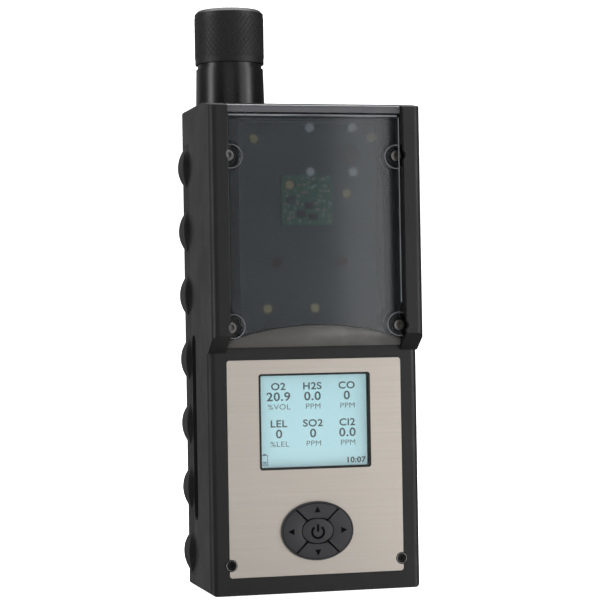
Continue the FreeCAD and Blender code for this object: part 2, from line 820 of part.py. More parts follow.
def window_outline(inset, side_inset):
    """Block with the bowed front and sloping foot, smaller by inset all round."""
    half = rail_inner_x - window_gap
    sag = window_middle_proud - window_side_proud
    bow = (half * half + sag * sag) / (2 * sag)
    middle_y = front_y - window_middle_proud
    z0 = module_bottom_z + side_inset
    z1 = window_top_z - side_inset
    body = rod_z(bow - inset, 0, middle_y + bow, z0, z1)
    body = body.common(box(-half + side_inset, half - side_inset, middle_y, window_back_y, z0, z1))
    foot_y = front_y - window_foot_proud
    run = window_middle_proud - window_foot_proud
    shift = inset * math.hypot(run, window_slope_height) / run
    z_foot = module_bottom_z + shift
    z_head = z_foot + window_slope_height
    wedge = prism_yz([(foot_y, z_foot), (middle_y, z_head), (middle_y - 5, z_head),
                      (middle_y - 5, z_foot - 9),
                      (foot_y, z_foot - 9)], -half_width, half_width)
    return body.cut(wedge)


def pump_window():
    outer = window_outline(0, 0)
    top_edge = [e for e in outer.Edges if e.BoundBox.ZMin > window_top_z - 0.01
                and e.Length > window_half_width and e.CenterOfMass.y < front_y - window_side_proud / 2]
    outer = outer.makeChamfer(window_bevel, top_edge)
    shell = outer.cut(window_outline(window_wall, window_wall).fuse(
        box(-bay_half_width, bay_half_width, window_back_y - 0.6, window_back_y + 1, bay_bottom_z,
            bay_top_z)))
    pockets = []
    ears = []
    for z in window_screw_rows:
        ears += both_sides(rod_y(pocket_radius + pocket_wall, window_screw_x, front_y - 10,
                                 window_back_y, z))
        pockets += both_sides(rod_y(pocket_radius, window_screw_x, front_y - 10, ear_y, z))
        pockets += both_sides(rod_y(screw_shank_radius + 0.2, window_screw_x, front_y - 10,
                                    window_back_y + 1, z))
    ears = Part.makeCompound(ears).common(outer)
    return cut(shell.fuse(ears), pockets)


def window_seal():
    half = window_half_width - 0.4
    outer = box(-half, half, window_back_y, front_y, module_bottom_z + 0.4, window_top_z - 0.2)
    inner = box(-bay_half_width, bay_half_width, window_back_y - 1, front_y + 1, bay_bottom_z,
                bay_top_z)
    holes = []
    for z in window_screw_rows:
        holes += both_sides(rod_y(screw_shank_radius + 0.2, window_screw_x, window_back_y - 1,
                                  front_y + 1, z))
    return cut(outer, [inner] + holes)


def window_screws():
    screws = []
    for z in window_screw_rows:
        head = rod_y(window_head_radius, window_screw_x, ear_y - screw_head_height, ear_y, z)
        shank = rod_y(screw_shank_radius, window_screw_x, ear_y - 0.1, ear_y + window_screw_length,
                      z)
        socket = rod_y(screw_shank_radius * 0.9, window_screw_x, ear_y - screw_head_height - 1,
                       ear_y - 0.5, z)
        screws += both_sides(fuse([head, shank]).cut(socket))
    return Part.makeCompound(screws)


def sensor_spots():
    """Two columns; the top of the right-hand column is left for the sounder."""
    spots = [(-sensor_column_x, sensor_row_z + i * sensor_pitch) for i in range(3)]
    return spots + [(sensor_column_x, sensor_row_z + i * sensor_pitch) for i in range(2)]


def sensor_manifold():
    half = bay_half_width + 0.5
    plate = box(-half, half, manifold_y, sensor_y, bay_bottom_z - 1.0, bay_top_z + 0.6)
    x, z = sounder_spot()
    hole = rod_y(buzzer_radius * 0.5, x, manifold_y - 1, sensor_y + 1, z)
    shafts = [rod_y(0.6, sx, manifold_y, sensor_y + 1, sz) for sx, sz in manifold_screw_spots]
    return cut(plate, [hole] + shafts)


def port_spots():
    half = port_spacing / 2
    spots = []
    for sx in (-1, 1):
        for sz in (-1, 1):
            spots.append((port_group_x + sx * half, port_group_z + sz * half))
    return spots


def port_filters():
    discs = []
    for x, z in port_spots():
        discs.append(rod_y(port_radius, x, manifold_y - port_thickness, manifold_y, z))
    return Part.makeCompound(discs)


def manifold_screws():
    screws = []
    for x, z in manifold_screw_spots:
        head = rod_y(manifold_screw_radius, x, manifold_y - manifold_screw_height, manifold_y, z)
        screws.append(fuse([head, rod_y(0.55, x, manifold_y - 0.1, sensor_y, z)]))
    return Part.makeCompound(screws)


def module_board():
    x0 = -module_board_width / 2 - module_board_shift
    z0 = module_board_z
    board = box(x0, x0 + module_board_width, manifold_y - module_board_thickness, manifold_y, z0,
                z0 + module_board_height)
    holes = []
    for x, z in manifold_screw_spots:
        holes.append(rod_y(manifold_screw_radius + 0.4, x, manifold_y - 2, manifold_y + 1, z))
    for x, z in port_spots():
        holes.append(rod_y(port_radius + 0.4, x, manifold_y - 2, manifold_y + 1, z))
    return cut(board, holes)


def gas_sensor(spot):
    x, z = spot
    can = rod_y(sensor_radius, x, sensor_y + 0.8, sensor_board_y - 1.6, z)
    nose = rod_y(sensor_radius * 0.45, x, sensor_y, sensor_y + 0.9, z)
    base = rod_y(sensor_radius - 0.8, x, sensor_board_y - 1.7, sensor_board_y, z)
    return fuse([can, nose, base])


def sensor_board():
    half = back_cavity_x - board_side_gap
    board = box(-half, half, sensor_board_y, sensor_board_back_y, sensor_board_bottom_z,
                sensor_board_top_z)
    notches = []
    for z in housing_screw_rows:
        notches += both_sides(rod_y(boss_radius + 0.2, housing_screw_x, sensor_board_y - 1,
                                    sensor_board_back_y + 1,
                                    z))
    return cut(board, notches)


def sounder_spot():
    return sensor_column_x, sensor_row_z + 2 * sensor_pitch


def sounder():
    x, z = sounder_spot()
    body = rod_y(buzzer_radius, x, sensor_y, sensor_y + buzzer_length, z)
    post = rod_y(buzzer_radius * 0.6, x, sensor_y + buzzer_length - 0.1, sensor_board_y, z)
    hole = rod_y(0.9, x, sensor_y - 1, sensor_y + 1.5, z)
    return fuse([body, post]).cut(hole)


def alarm_leds():
    return Part.makeCompound(both_sides(rod_y(led_radius, led_x, manifold_y - led_length,
                                              manifold_y, led_z)))


# ---- Pump and vibration motor ----------------------------------------------
def pump_motor():
    can = rod_z(motor_radius, pump_x, motor_y, pump_z, pump_base_z)
    shaft = rod_z(motor_shaft_radius, pump_x, motor_y, pump_base_z - 0.1,
                  pump_base_z + pump_base_thickness + 0.4)
    foot = box(pump_x - 3, pump_x + 3, sensor_board_back_y, motor_y - 1, pump_z + 2, pump_z + 8)
    return fuse([can, shaft, foot])


def pump_head():
    """U-shaped body: base on the motor, a wall on the left and an open side for the plunger."""
    y0 = sensor_board_back_y
    y1 = y0 + head_depth - 0.4
    x0 = pump_x - head_width / 2
    x1 = pump_x + head_width / 2
    base = box(x0, x1, y0, y1, pump_base_z, pump_base_z + pump_base_thickness)
    wall_left = box(x0, x0 + 3.0, y0, y1, pump_base_z, pump_base_z + head_height)
    hole = rod_z(motor_shaft_radius + 0.4, pump_x, motor_y, pump_base_z - 1,
                 pump_base_z + pump_base_thickness + 1)
    guide = rod_x(1.3, x0 - 1, x0 + 4, motor_y, eccentric_z + eccentric_height / 2)
    return cut(fuse([base, wall_left]), [hole, guide])


def pump_eccentric():
    disc = rod_z(eccentric_radius, pump_x, motor_y + eccentric_offset, eccentric_z,
                 eccentric_z + eccentric_height)
    return disc


def pump_plunger():
    """Slotted yoke around the eccentric, with the rod that works the diaphragm."""
    play = eccentric_offset + pump_stroke + yoke_clearance
    slot_x = eccentric_radius + play
    slot_y_half = eccentric_radius + eccentric_offset + yoke_clearance
    outer_x = slot_x + yoke_wall
    outer_y = slot_y_half + 0.6
    z0 = eccentric_z + 0.3
    z1 = eccentric_z + eccentric_height - 0.3
    frame = box(pump_x - outer_x, pump_x + outer_x, motor_y - outer_y, motor_y + outer_y, z0, z1)
    frame = frame.cut(box(pump_x - slot_x, pump_x + slot_x, motor_y - slot_y_half,
                          motor_y + slot_y_half,
                          z0 - 1, z1 + 1))
    x_wall = pump_x - head_width / 2
    rod = rod_x(0.9, x_wall + 0.6, pump_x - outer_x + 0.1, motor_y, (z0 + z1) / 2)
    return fuse([frame, rod])


def intake_tube():
    """Soft tube from the inlet's stem to the pump head."""
    x_end = pump_x - head_width / 2
    z_end = pump_base_z + head_height - 3.0
    z_start = cavity_top_z - stem_drop
    bend = 4.0
    y = stem_y
    start = V(inlet_x, y, z_start)
    corner = V(inlet_x, y, z_end)
    down = Part.makeLine(start, V(inlet_x, y, z_end + bend))
    turn = Part.Arc(V(inlet_x, y, z_end + bend),
                    V(inlet_x + bend * (1 - math.cos(math.pi / 4)), y,
                      corner.z + bend * (1 - math.sin(math.pi / 4))),
                    V(inlet_x + bend, y, z_end)).toShape()
    across = Part.makeLine(V(inlet_x + bend, y, z_end), V(x_end, y, z_end))
    path = Part.Wire([down, turn, across])
    skin = path.makePipeShell([Part.Wire(Part.makeCircle(tube_radius, start, V(0, 0, 1)))], True,
                              True)
    bore = path.makePipeShell([Part.Wire(Part.makeCircle(tube_bore, start, V(0, 0, 1)))], True,
                              True)
    return skin.cut(bore)


def vibration_axis():
    return -13.0, sensor_board_back_y + vibration_radius + 0.6, 90.0


def vibration_motor():
    x, y, z = vibration_axis()
    can = rod_x(vibration_radius, x, x + vibration_length, y, z)
    shaft = rod_x(0.5, x - 0.6, x + 0.1, y, z)
    foot = box(x + 1, x + vibration_length - 1, sensor_board_back_y, y, z - 2.4, z + 2.4)
    return fuse([can, shaft, foot])


def vibration_weight():
    x, y, z = vibration_axis()
    x1 = x - 0.9
    disc = rod_x(weight_radius, x1 - weight_length, x1, y, z)
    half = box(x1 - weight_length - 1, x1 + 1, y - weight_radius - 1, y + weight_radius + 1,
               z - weight_radius - 1,
               z + 0.6)
    return disc.common(half)


# ---- Inlet -----------------------------------------------------------------
def inlet_barrel():
    body = Part.makeCone(barrel_radius, barrel_top_radius, barrel_top_z - case_height,
                         V(inlet_x, inlet_y, case_height))
    neck = rod_z(neck_radius, inlet_x, inlet_y, barrel_top_z, barrel_top_z + neck_height)
    spigot = rod_z(spigot_radius, inlet_x, inlet_y, barrel_top_z, spigot_top_z)
    stem = rod_z(stem_radius, inlet_x, stem_y, cavity_top_z - stem_drop, case_height + 0.1)
    air = rod_z(air_bore_radius, inlet_x, stem_y, cavity_top_z - stem_drop - 1, spigot_top_z + 1)
    return cut(fuse([body, neck, spigot, stem]), [air])


def inlet_insert():
    """Filter holder: lifts with the cap and doesn't turn."""
    inner = spigot_radius + insert_gap
    outer = inner + insert_wall
    z0 = cap_bottom_z + 1.6
    body = rod_z(outer, inlet_x, inlet_y, z0, insert_top_z)
    body = body.cut(rod_z(inner, inlet_x, inlet_y, z0 - 1, spigot_top_z + insert_gap))
    pocket = rod_z(inner - 1.0, inlet_x, inlet_y, insert_top_z - filter_thickness, insert_top_z + 1)
    return cut(body, [pocket, rod_z(air_bore_radius, inlet_x, inlet_y, z0, insert_top_z + 1)])


def dust_filter():
    radius = spigot_radius + insert_gap - 1.0
    return rod_z(radius, inlet_x, inlet_y, insert_top_z - filter_thickness, insert_top_z)


def inlet_cap():
    body = rod_z(cap_radius, inlet_x, inlet_y, cap_bottom_z, cap_top_z - cap_dome)
    rims = [e for e in body.Edges if e.Length > 6 * cap_radius and e.CenterOfMass.z > cap_bottom_z + 1]
    body = body.makeChamfer(cap_chamfer, rims)
    inner = spigot_radius + 2 * insert_gap + insert_wall
    bore = rod_z(inner, inlet_x, inlet_y, cap_bottom_z - 1, insert_top_z + 0.3)
    air = rod_z(air_bore_radius, inlet_x, inlet_y, insert_top_z, cap_top_z)
    mouth = rod_z(sample_bore_radius, inlet_x, inlet_y, cap_top_z - cap_dome - sample_bore_depth,
                  cap_top_z + 1)
    return cut(body, [bore, air, mouth])


# ---- Bottom fittings -------------------------------------------------------
def contact_positions():
    return (-contact_pitch, 0.0, contact_pitch)


def charge_contacts():
    return Part.makeCompound([rod_z(contact_radius, x, contact_y, 0.1,
                                    contact_depth) for x in contact_positions()])


def ir_window_block():
    return box(-ir_width / 2, ir_width / 2, ir_y - ir_depth / 2, ir_y + ir_depth / 2, -1,
               contact_depth)


def ir_window():
    return ir_window_block().common(box(-case_width, case_width, -case_depth, case_depth, 0.1,
                                        case_height))


# ---- Belt clip -------------------------------------------------------------
def clip_screw_spots():
    low = clip_base_z + clip_screw_margin
    return [(0.0, low), (0.0, clip_base_z + clip_base_height - clip_screw_margin)]


def clip_screw_holes():
    return [rod_y(screw_shank_radius + hole_play, x, back_inner_y - 0.1, back_y + 1, z)
            for x, z in clip_screw_spots()]


def clip_base():
    z1 = clip_base_z + clip_base_height
    half = clip_width / 2
    plate = slab(half, clip_base_z, z1, back_y, back_y + clip_base_thickness, 2.0)
    ears = []
    for side in (-1, 1):
        x0 = side * half if side < 0 else half - clip_ear_thickness
        web = prism_yz([(back_y + 0.5, clip_pin_z - 6), (clip_pin_y, clip_pin_z - clip_ear_radius),
                        (clip_pin_y, clip_pin_z + clip_ear_radius), (back_y + 0.5, clip_pin_z + 6)],
                       x0, x0 + clip_ear_thickness)
        ears += [web, rod_x(clip_ear_radius, x0, x0 + clip_ear_thickness, clip_pin_y, clip_pin_z)]
    body = fuse([plate] + ears)
    holes = [rod_y(screw_shank_radius + hole_play, x, back_y - 1, back_y + 3, z) for x,
             z in clip_screw_spots()]
    holes.append(rod_x(clip_pin_radius, -half - 1, half + 1, clip_pin_y, clip_pin_z))
    return cut(body, holes)


def clip_screws():
    screws = []
    for x, z in clip_screw_spots():
        y = back_y + clip_base_thickness
        head = rod_y(screw_head_radius, x, y, y + 1.2, z)
        shank = rod_y(screw_shank_radius, x, back_inner_y, y + 0.1, z)
        socket = rod_y(screw_shank_radius * 0.9, x, y + 0.5, y + 2, z)
        screws.append(fuse([head, shank]).cut(socket))
    return Part.makeCompound(screws)


def clip_pin():
    return rod_x(clip_pin_radius, -clip_width / 2 - 0.6, clip_width / 2 + 0.6, clip_pin_y,
                 clip_pin_z)


def clip_arm():
    """Lever on the pin: press the top and the hooked lower end leaves the case."""
    half = clip_width / 2 - clip_ear_thickness - 0.4
    low = clip_pin_z - clip_arm_below
    high = clip_pin_z + clip_arm_above
    y0 = clip_arm_y
    y1 = y0 + clip_arm_thickness
    hook_y = back_y + clip_hook_gap
    plate = prism_yz([(y0, low + 8), (hook_y, low + 3.6), (hook_y, low + 2.2), (y0, low),
                      (y1, low + 2), (y1, high),
                      (y0, high)], -half, half)
    lugs = []
    lug = clip_ear_thickness
    for x0 in (-half, half - lug):
        web = prism_yz([(clip_pin_y, clip_pin_z - clip_ear_radius), (y0 + 0.3, clip_pin_z - 6),
                        (y0 + 0.3, clip_pin_z + 6),
                        (clip_pin_y, clip_pin_z + clip_ear_radius)], x0, x0 + lug)
        lugs += [web, rod_x(clip_ear_radius, x0, x0 + lug, clip_pin_y, clip_pin_z)]
    bore = rod_x(clip_pin_radius + clip_bore_play, -half - 1, half + 1, clip_pin_y, clip_pin_z)
    return cut(fuse([plate] + lugs), [bore])


def clip_spring():
    """Torsion spring wound round the pin between the arm's lugs."""
    inner_half = clip_width / 2 - 2 * clip_ear_thickness - 1.2
    radius = clip_pin_radius + spring_wire + spring_play
    length = 2 * inner_half - 4 * spring_wire
    pitch = length / spring_turns
    helix = Part.makeHelix(pitch, length, radius)
    profile = Part.Wire(Part.makeCircle(spring_wire, V(radius, 0, 0),
                                        V(0, 1, pitch / (2 * math.pi * radius))))
    coil = Part.Wire(helix.Edges).makePipeShell([profile], True, True)
    coil.rotate(V(0, 0, 0), V(0, 1, 0), 90)
    coil.translate(V(-length / 2, clip_pin_y, clip_pin_z))
    return coil


# ---- Write every piece -----------------------------------------------------
def main():
    os.makedirs("parts", exist_ok=True)
    envelope = case_envelope()
    seal = housing_seal()
    save("front_housing", front_housing(envelope).cut(seal))
    save("back_housing", back_housing(envelope))
    save("housing_seal", seal)
    save("housing_screws", housing_screws())
    save("grip_right", side_grip())
    save("grip_left", mirror_x(side_grip()))
    save("face_plate", face_plate())
    save("plate_screws", plate_screws())
    save("display_gasket", display_gasket())
    save("display_lens", display_lens())
    save("lcd_module", lcd_module())
    save("keypad_frame", keypad_frame())
    save("key_up", key_ring_quarter((0, 1)))
    save("key_down", key_ring_quarter((0, -1)))
    save("key_left", key_ring_quarter((-1, 0)))
    save("key_right", key_ring_quarter((1, 0)))
    save("key_enter", key_enter())
    save("key_domes", key_domes())
    save("display_board", display_board())
    save("main_board", main_board())
    save("board_spacers", board_spacers())
    save("battery_springs", battery_springs())
    save("battery_case", battery_case())
    save("battery_cells", battery_cells())
    save("battery_cover", battery_cover())
    save("cover_screws", cover_screws())
    save("pump_frame", pump_frame())
    save("pump_window", pump_window())
    save("window_seal", window_seal())
    save("window_screws", window_screws())
    save("sensor_manifold", sensor_manifold())
    save("port_filters", port_filters())
    save("manifold_screws", manifold_screws())
    save("module_board", module_board())
    names = ("sensor_oxygen", "sensor_sulphide", "sensor_monoxide", "sensor_combustible",
             "sensor_dioxide")
    for name, spot in zip(names, sensor_spots()):
        save(name, gas_sensor(spot))
    save("sensor_board", sensor_board())
    save("sounder", sounder())
    save("alarm_leds", alarm_leds())
    save("pump_motor", pump_motor())
    save("pump_head", pump_head())
    save("pump_eccentric", pump_eccentric())
    save("pump_plunger", pump_plunger())
    save("intake_tube", intake_tube())
    save("vibration_motor", vibration_motor())
    save("vibration_weight", vibration_weight())
    save("inlet_barrel", inlet_barrel())
    save("inlet_insert", inlet_insert())
    save("dust_filter", dust_filter())
    save("inlet_cap", inlet_cap())
    save("charge_contacts", charge_contacts())
    save("ir_window", ir_window())
    save("clip_base", clip_base())
    save("clip_screws", clip_screws())
    save("clip_pin", clip_pin())
    save("clip_arm", clip_arm())
    save("clip_spring", clip_spring())


main()
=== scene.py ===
"""Portable gas detector: finishes, printed and moulded details, and the studio.

Metres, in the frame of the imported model: -Y faces the user, +Z is up.
"""
import json
import math
import random

import bmesh
import bpy
from bpy.props import (BoolProperty, FloatProperty, FloatVectorProperty, IntProperty,
                       PointerProperty)
from mathutils import Matrix, Vector


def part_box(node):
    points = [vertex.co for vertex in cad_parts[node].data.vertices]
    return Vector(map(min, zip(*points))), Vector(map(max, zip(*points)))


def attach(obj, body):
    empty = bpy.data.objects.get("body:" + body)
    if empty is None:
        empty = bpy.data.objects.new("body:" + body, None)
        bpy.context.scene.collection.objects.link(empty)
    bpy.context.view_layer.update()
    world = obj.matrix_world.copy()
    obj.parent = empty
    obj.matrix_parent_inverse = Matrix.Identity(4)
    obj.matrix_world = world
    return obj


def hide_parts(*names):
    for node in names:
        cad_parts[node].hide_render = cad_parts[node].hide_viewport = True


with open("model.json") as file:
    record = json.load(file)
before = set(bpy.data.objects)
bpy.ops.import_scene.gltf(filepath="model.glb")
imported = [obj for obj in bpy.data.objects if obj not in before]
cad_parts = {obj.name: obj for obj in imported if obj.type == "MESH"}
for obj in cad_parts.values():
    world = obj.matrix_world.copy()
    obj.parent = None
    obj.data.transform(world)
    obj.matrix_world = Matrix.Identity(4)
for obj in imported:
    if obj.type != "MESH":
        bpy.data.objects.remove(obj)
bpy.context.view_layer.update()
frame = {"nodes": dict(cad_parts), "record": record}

bl_info = {
    "name": "Portable gas detector",
    "version": (1, 0, 0),
    "blender": (4, 5, 0),
    "location": "View3D > Sidebar > Gas detector",
    "description": "Dresses the gas detector's frame and sets its studio",
    "category": "Object",
}

MM = 0.001


# ---- Node helpers ---------------------------------------------------------------
def add(tree, kind, **values):
    """One node, with its properties and its unlinked inputs set by name."""
    made = tree.nodes.new(kind)
    for key, value in values.items():
        if hasattr(made, key) and key not in made.inputs:
            setattr(made, key, value)
        else:
            made.inputs[key.replace("_", " ")].default_value = value
    return made


def join(tree, *pairs):
    """Links each output to its input."""
    for out, into in pairs:
        tree.links.new(out, into)


def maths(tree, operation, a, b=0.0):
    """One Math node on two sockets or numbers."""
    made = tree.nodes.new("ShaderNodeMath")
    made.operation = operation
    for socket, value in zip(made.inputs, (a, b)):
        if isinstance(value, bpy.types.NodeSocket):
            tree.links.new(value, socket)
        else:
            socket.default_value = value
    return made.outputs[0]


def blend(tree, share, low, high):
    """Colour that goes from low to high as share goes from 0 to 1."""
    made = tree.nodes.new("ShaderNodeMix")
    made.data_type = "RGBA"
    first, second = (socket for socket in made.inputs if socket.type == "RGBA")
    for socket, value in ((made.inputs["Factor"], share), (first, low), (second, high)):
        if isinstance(value, bpy.types.NodeSocket):
            tree.links.new(value, socket)
        elif socket.type == "RGBA":
            socket.default_value = (*value[:3], 1.0)
        else:
            socket.default_value = value
    return next(out for out in made.outputs if out.type == "RGBA")


def spread(tree, value, low, high, start=0.0, end=1.0):
    """Value between start and end, mapped to between low and high."""
    made = tree.nodes.new("ShaderNodeMapRange")
    tree.links.new(value, made.inputs["Value"])
    for name, number in (("From Min", start), ("From Max", end), ("To Min", low), ("To Max", high)):
        made.inputs[name].default_value = number
    return made.outputs["Result"]


def group(name, inputs, outputs, kind="ShaderNodeTree"):
    """Empty node group with the sockets named in inputs and outputs."""
    tree = bpy.data.node_groups.new(name, kind)
    for direction, sockets in (("INPUT", inputs), ("OUTPUT", outputs)):
        for label, socket_type, *default in sockets:
            made = tree.interface.new_socket(name=label, in_out=direction,
                                             socket_type="NodeSocket" + socket_type)
            if default:
                made.default_value = default[0]
    return tree, tree.nodes.new("NodeGroupInput"), tree.nodes.new("NodeGroupOutput")


# ---- Shared surface effects ---------------------------------------------------------
def moulded_grain():
    """Spark-eroded grain of a moulding: height, and a mask of shinier and duller patches."""
    tree, start, end = group(
        "moulded grain",
        (("Place", "Vector"), ("Grain", "Float", 2600.0), ("Patches", "Float", 60.0)),
        (("Height", "Float"), ("Patch", "Float")))
    fine = add(tree, "ShaderNodeTexNoise", Detail=3.0, Roughness=0.62)
    pits = add(tree, "ShaderNodeTexVoronoi", feature="SMOOTH_F1")
    broad = add(tree, "ShaderNodeTexNoise", Detail=5.0, Roughness=0.55)
    join(tree, (start.outputs["Place"], fine.inputs["Vector"]),
         (start.outputs["Place"], pits.inputs["Vector"]),
         (start.outputs["Place"], broad.inputs["Vector"]),
         (start.outputs["Grain"], fine.inputs["Scale"]),
         (start.outputs["Patches"], broad.inputs["Scale"]))
    tree.links.new(maths(tree, "MULTIPLY", start.outputs["Grain"], 0.55), pits.inputs["Scale"])
    height = maths(tree, "ADD", maths(tree, "MULTIPLY", fine.outputs["Fac"], 0.7),
                   maths(tree, "MULTIPLY", pits.outputs["Distance"], 0.5))
    join(tree, (height, end.inputs["Height"]),
         (spread(tree, broad.outputs["Fac"], 0.0, 1.0, 0.32, 0.68), end.inputs["Patch"]))
    return tree


def brushed_lines():
    """Fine straight brushing along X: height of the scratches and their tone."""
    tree, start, end = group(
        "brushed lines",
        (("Place", "Vector"), ("Fineness", "Float", 9000.0), ("Length", "Float", 60.0)),
        (("Height", "Float"), ("Tone", "Float")))
    parts = add(tree, "ShaderNodeSeparateXYZ")
    across = add(tree, "ShaderNodeCombineXYZ")
    join(tree, (start.outputs["Place"], parts.inputs[0]))
    for axis, scale in (("X", "Length"), ("Y", "Length"), ("Z", "Fineness")):
        join(tree, (maths(tree, "MULTIPLY", parts.outputs[axis], start.outputs[scale]),
                    across.inputs[axis]))
    scratches = add(tree, "ShaderNodeTexNoise", Scale=1.0, Detail=4.0, Roughness=0.7)
    bands = add(tree, "ShaderNodeTexNoise", Scale=0.12, Detail=2.0)
    join(tree, (across.outputs[0], scratches.inputs["Vector"]),
         (across.outputs[0], bands.inputs["Vector"]))
    tone = maths(tree, "ADD", maths(tree, "MULTIPLY", scratches.outputs["Fac"], 0.65),
                 maths(tree, "MULTIPLY", bands.outputs["Fac"], 0.35))
    join(tree, (scratches.outputs["Fac"], end.inputs["Height"]),
         (spread(tree, tone, 0.0, 1.0, 0.3, 0.7), end.inputs["Tone"]))
    return tree


def handling_marks():
    """Rubbed patches and specks of dust that a carried tool picks up, as two masks."""
    tree, start, end = group(
        "handling marks",
        (("Place", "Vector"), ("Rub Scale", "Float", 90.0), ("Dust Scale", "Float", 1400.0)),
        (("Rubbed", "Float"), ("Dust", "Float")))
    rub = add(tree, "ShaderNodeTexNoise", Detail=6.0, Roughness=0.6, Distortion=0.4)
    dust = add(tree, "ShaderNodeTexNoise", Detail=2.0)
    join(tree, (start.outputs["Place"], rub.inputs["Vector"]),
         (start.outputs["Place"], dust.inputs["Vector"]),
         (start.outputs["Rub Scale"], rub.inputs["Scale"]),
         (start.outputs["Dust Scale"], dust.inputs["Scale"]))
    join(tree, (spread(tree, rub.outputs["Fac"], 0.0, 1.0, 0.52, 0.74), end.inputs["Rubbed"]),
         (spread(tree, dust.outputs["Fac"], 0.0, 1.0, 0.66, 0.8), end.inputs["Dust"]))
    return tree


GRAIN = moulded_grain()
BRUSHED = brushed_lines()
HANDLING = handling_marks()


# ---- Finishes -------------------------------------------------------------------------
def new_finish(name):
    """Material with a Principled shader, and the Object coordinates that its patterns read."""
    made = bpy.data.materials.new(name)
    made.use_nodes = True
    tree = made.node_tree
    shader = tree.nodes["Principled BSDF"]
    place = tree.nodes.new("ShaderNodeTexCoord").outputs["Object"]
    return made, tree, shader, place


def effect(tree, source, place, **values):
    """One of the shared surface effects, with its own values."""
    made = tree.nodes.new("ShaderNodeGroup")
    made.node_tree = source
    tree.links.new(place, made.inputs["Place"])
    for key, value in values.items():
        made.inputs[key.replace("_", " ")].default_value = value
    return made


def raise_surface(tree, shader, height, distance):
    """Bump of the given depth in metres."""
    bump = tree.nodes.new("ShaderNodeBump")
    bump.inputs["Distance"].default_value = distance
    join(tree, (height, bump.inputs["Height"]), (bump.outputs["Normal"], shader.inputs["Normal"]))


def moulding(name, colour, rough=(0.4, 0.55), grain=2600.0, depth=0.02, rub=0.35, dust=0.04,
             metallic=0.0, specular=0.5, coat=0.0, dusty=(0.32, 0.31, 0.29)):
    """Moulded, painted or plated surface with grain, duller and shinier patches, rubbing and dust.

    rough runs from the shiniest patch to the dullest, grain is per metre, depth is the grain's in
    millimetres, and rub and dust are the shares of wear and of dust that show.
    """
    made, tree, shader, place = new_finish(name)
    grained = effect(tree, GRAIN, place, Grain=grain)
    marks = effect(tree, HANDLING, place)
    lighter = tuple(min(1.0, c * 1.6 + 0.004) for c in colour)
    worn = blend(tree, maths(tree, "MULTIPLY", marks.outputs["Rubbed"], rub), colour, lighter)
    toned = blend(tree, maths(tree, "MULTIPLY", marks.outputs["Dust"], dust), worn, dusty)
    join(tree, (toned, shader.inputs["Base Color"]),
         (spread(tree, grained.outputs["Patch"], *rough), shader.inputs["Roughness"]))
    raise_surface(tree, shader, grained.outputs["Height"], depth * MM)
    shader.inputs["Metallic"].default_value = metallic
    shader.inputs["Specular IOR Level"].default_value = specular
    shader.inputs["Coat Weight"].default_value = coat
    return made


def brushed_metal(name, colour, rough=(0.3, 0.45), fineness=9000.0, depth=0.004, metallic=1.0,
                  tone=0.16):
    """Metal brushed along X, lighter and darker by the line by a share of tone; depth in millimetres."""
    made, tree, shader, place = new_finish(name)
    lines = effect(tree, BRUSHED, place, Fineness=fineness)
    marks = effect(tree, HANDLING, place, Rub_Scale=35.0)
    darker = tuple(c * (1 - tone) for c in colour)
    lighter = tuple(min(1.0, c * (1 + tone * 0.6)) for c in colour)
    lined = blend(tree, lines.outputs["Tone"], darker, lighter)
    shaded = blend(tree, maths(tree, "MULTIPLY", marks.outputs["Rubbed"], 0.12), lined, darker)
    join(tree, (shaded, shader.inputs["Base Color"]),
         (spread(tree, lines.outputs["Tone"], *rough), shader.inputs["Roughness"]))
    raise_surface(tree, shader, lines.outputs["Height"], depth * MM)
    shader.inputs["Metallic"].default_value = metallic
    return made


def backlit_screen(name, colour, glow):
    """Reflective display panel with its backlight on: rows of dots and a soft fall-off at the edges."""
    made, tree, shader, place = new_finish(name)
    low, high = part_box("display_lens")
    middle = (low + high) / 2
    parts = tree.nodes.new("ShaderNodeSeparateXYZ")
    join(tree, (place, parts.inputs[0]))
    from_side = maths(tree, "ABSOLUTE", maths(tree, "SUBTRACT", parts.outputs["X"], middle.x))
    from_foot = maths(tree, "ABSOLUTE", maths(tree, "SUBTRACT", parts.outputs["Z"], middle.z))
    edge = maths(tree, "MAXIMUM", maths(tree, "DIVIDE", from_side, (high.x - low.x) / 2),
                 maths(tree, "DIVIDE", from_foot, (high.z - low.z) / 2))
    falloff = spread(tree, edge, 0.0, 1.0, 0.75, 1.02)
    cloud = add(tree, "ShaderNodeTexNoise", Scale=70.0, Detail=2.0)
    join(tree, (place, cloud.inputs["Vector"]))
    dot_pitch, dot_shade = 0.11 * MM, 0.35
    rows, columns = (
        maths(tree, "MULTIPLY",
              maths(tree, "PINGPONG", maths(tree, "MULTIPLY", parts.outputs[axis], 1 / dot_pitch), 1.0),
              dot_shade)
        for axis in ("Z", "X"))
    shade = maths(tree, "ADD", maths(tree, "MULTIPLY", falloff, 0.55),
                  maths(tree, "MULTIPLY", cloud.outputs["Fac"], 0.35))
    shade = maths(tree, "ADD", shade,
                  maths(tree, "MULTIPLY", maths(tree, "MULTIPLY", rows, columns), 0.5))
    tinted = blend(tree, shade, colour, tuple(c * 0.8 for c in colour))
    join(tree, (tinted, shader.inputs["Base Color"]), (tinted, shader.inputs["Emission Color"]))
    shader.inputs["Emission Strength"].default_value = glow
    shader.inputs["Roughness"].default_value = 0.6
    return made


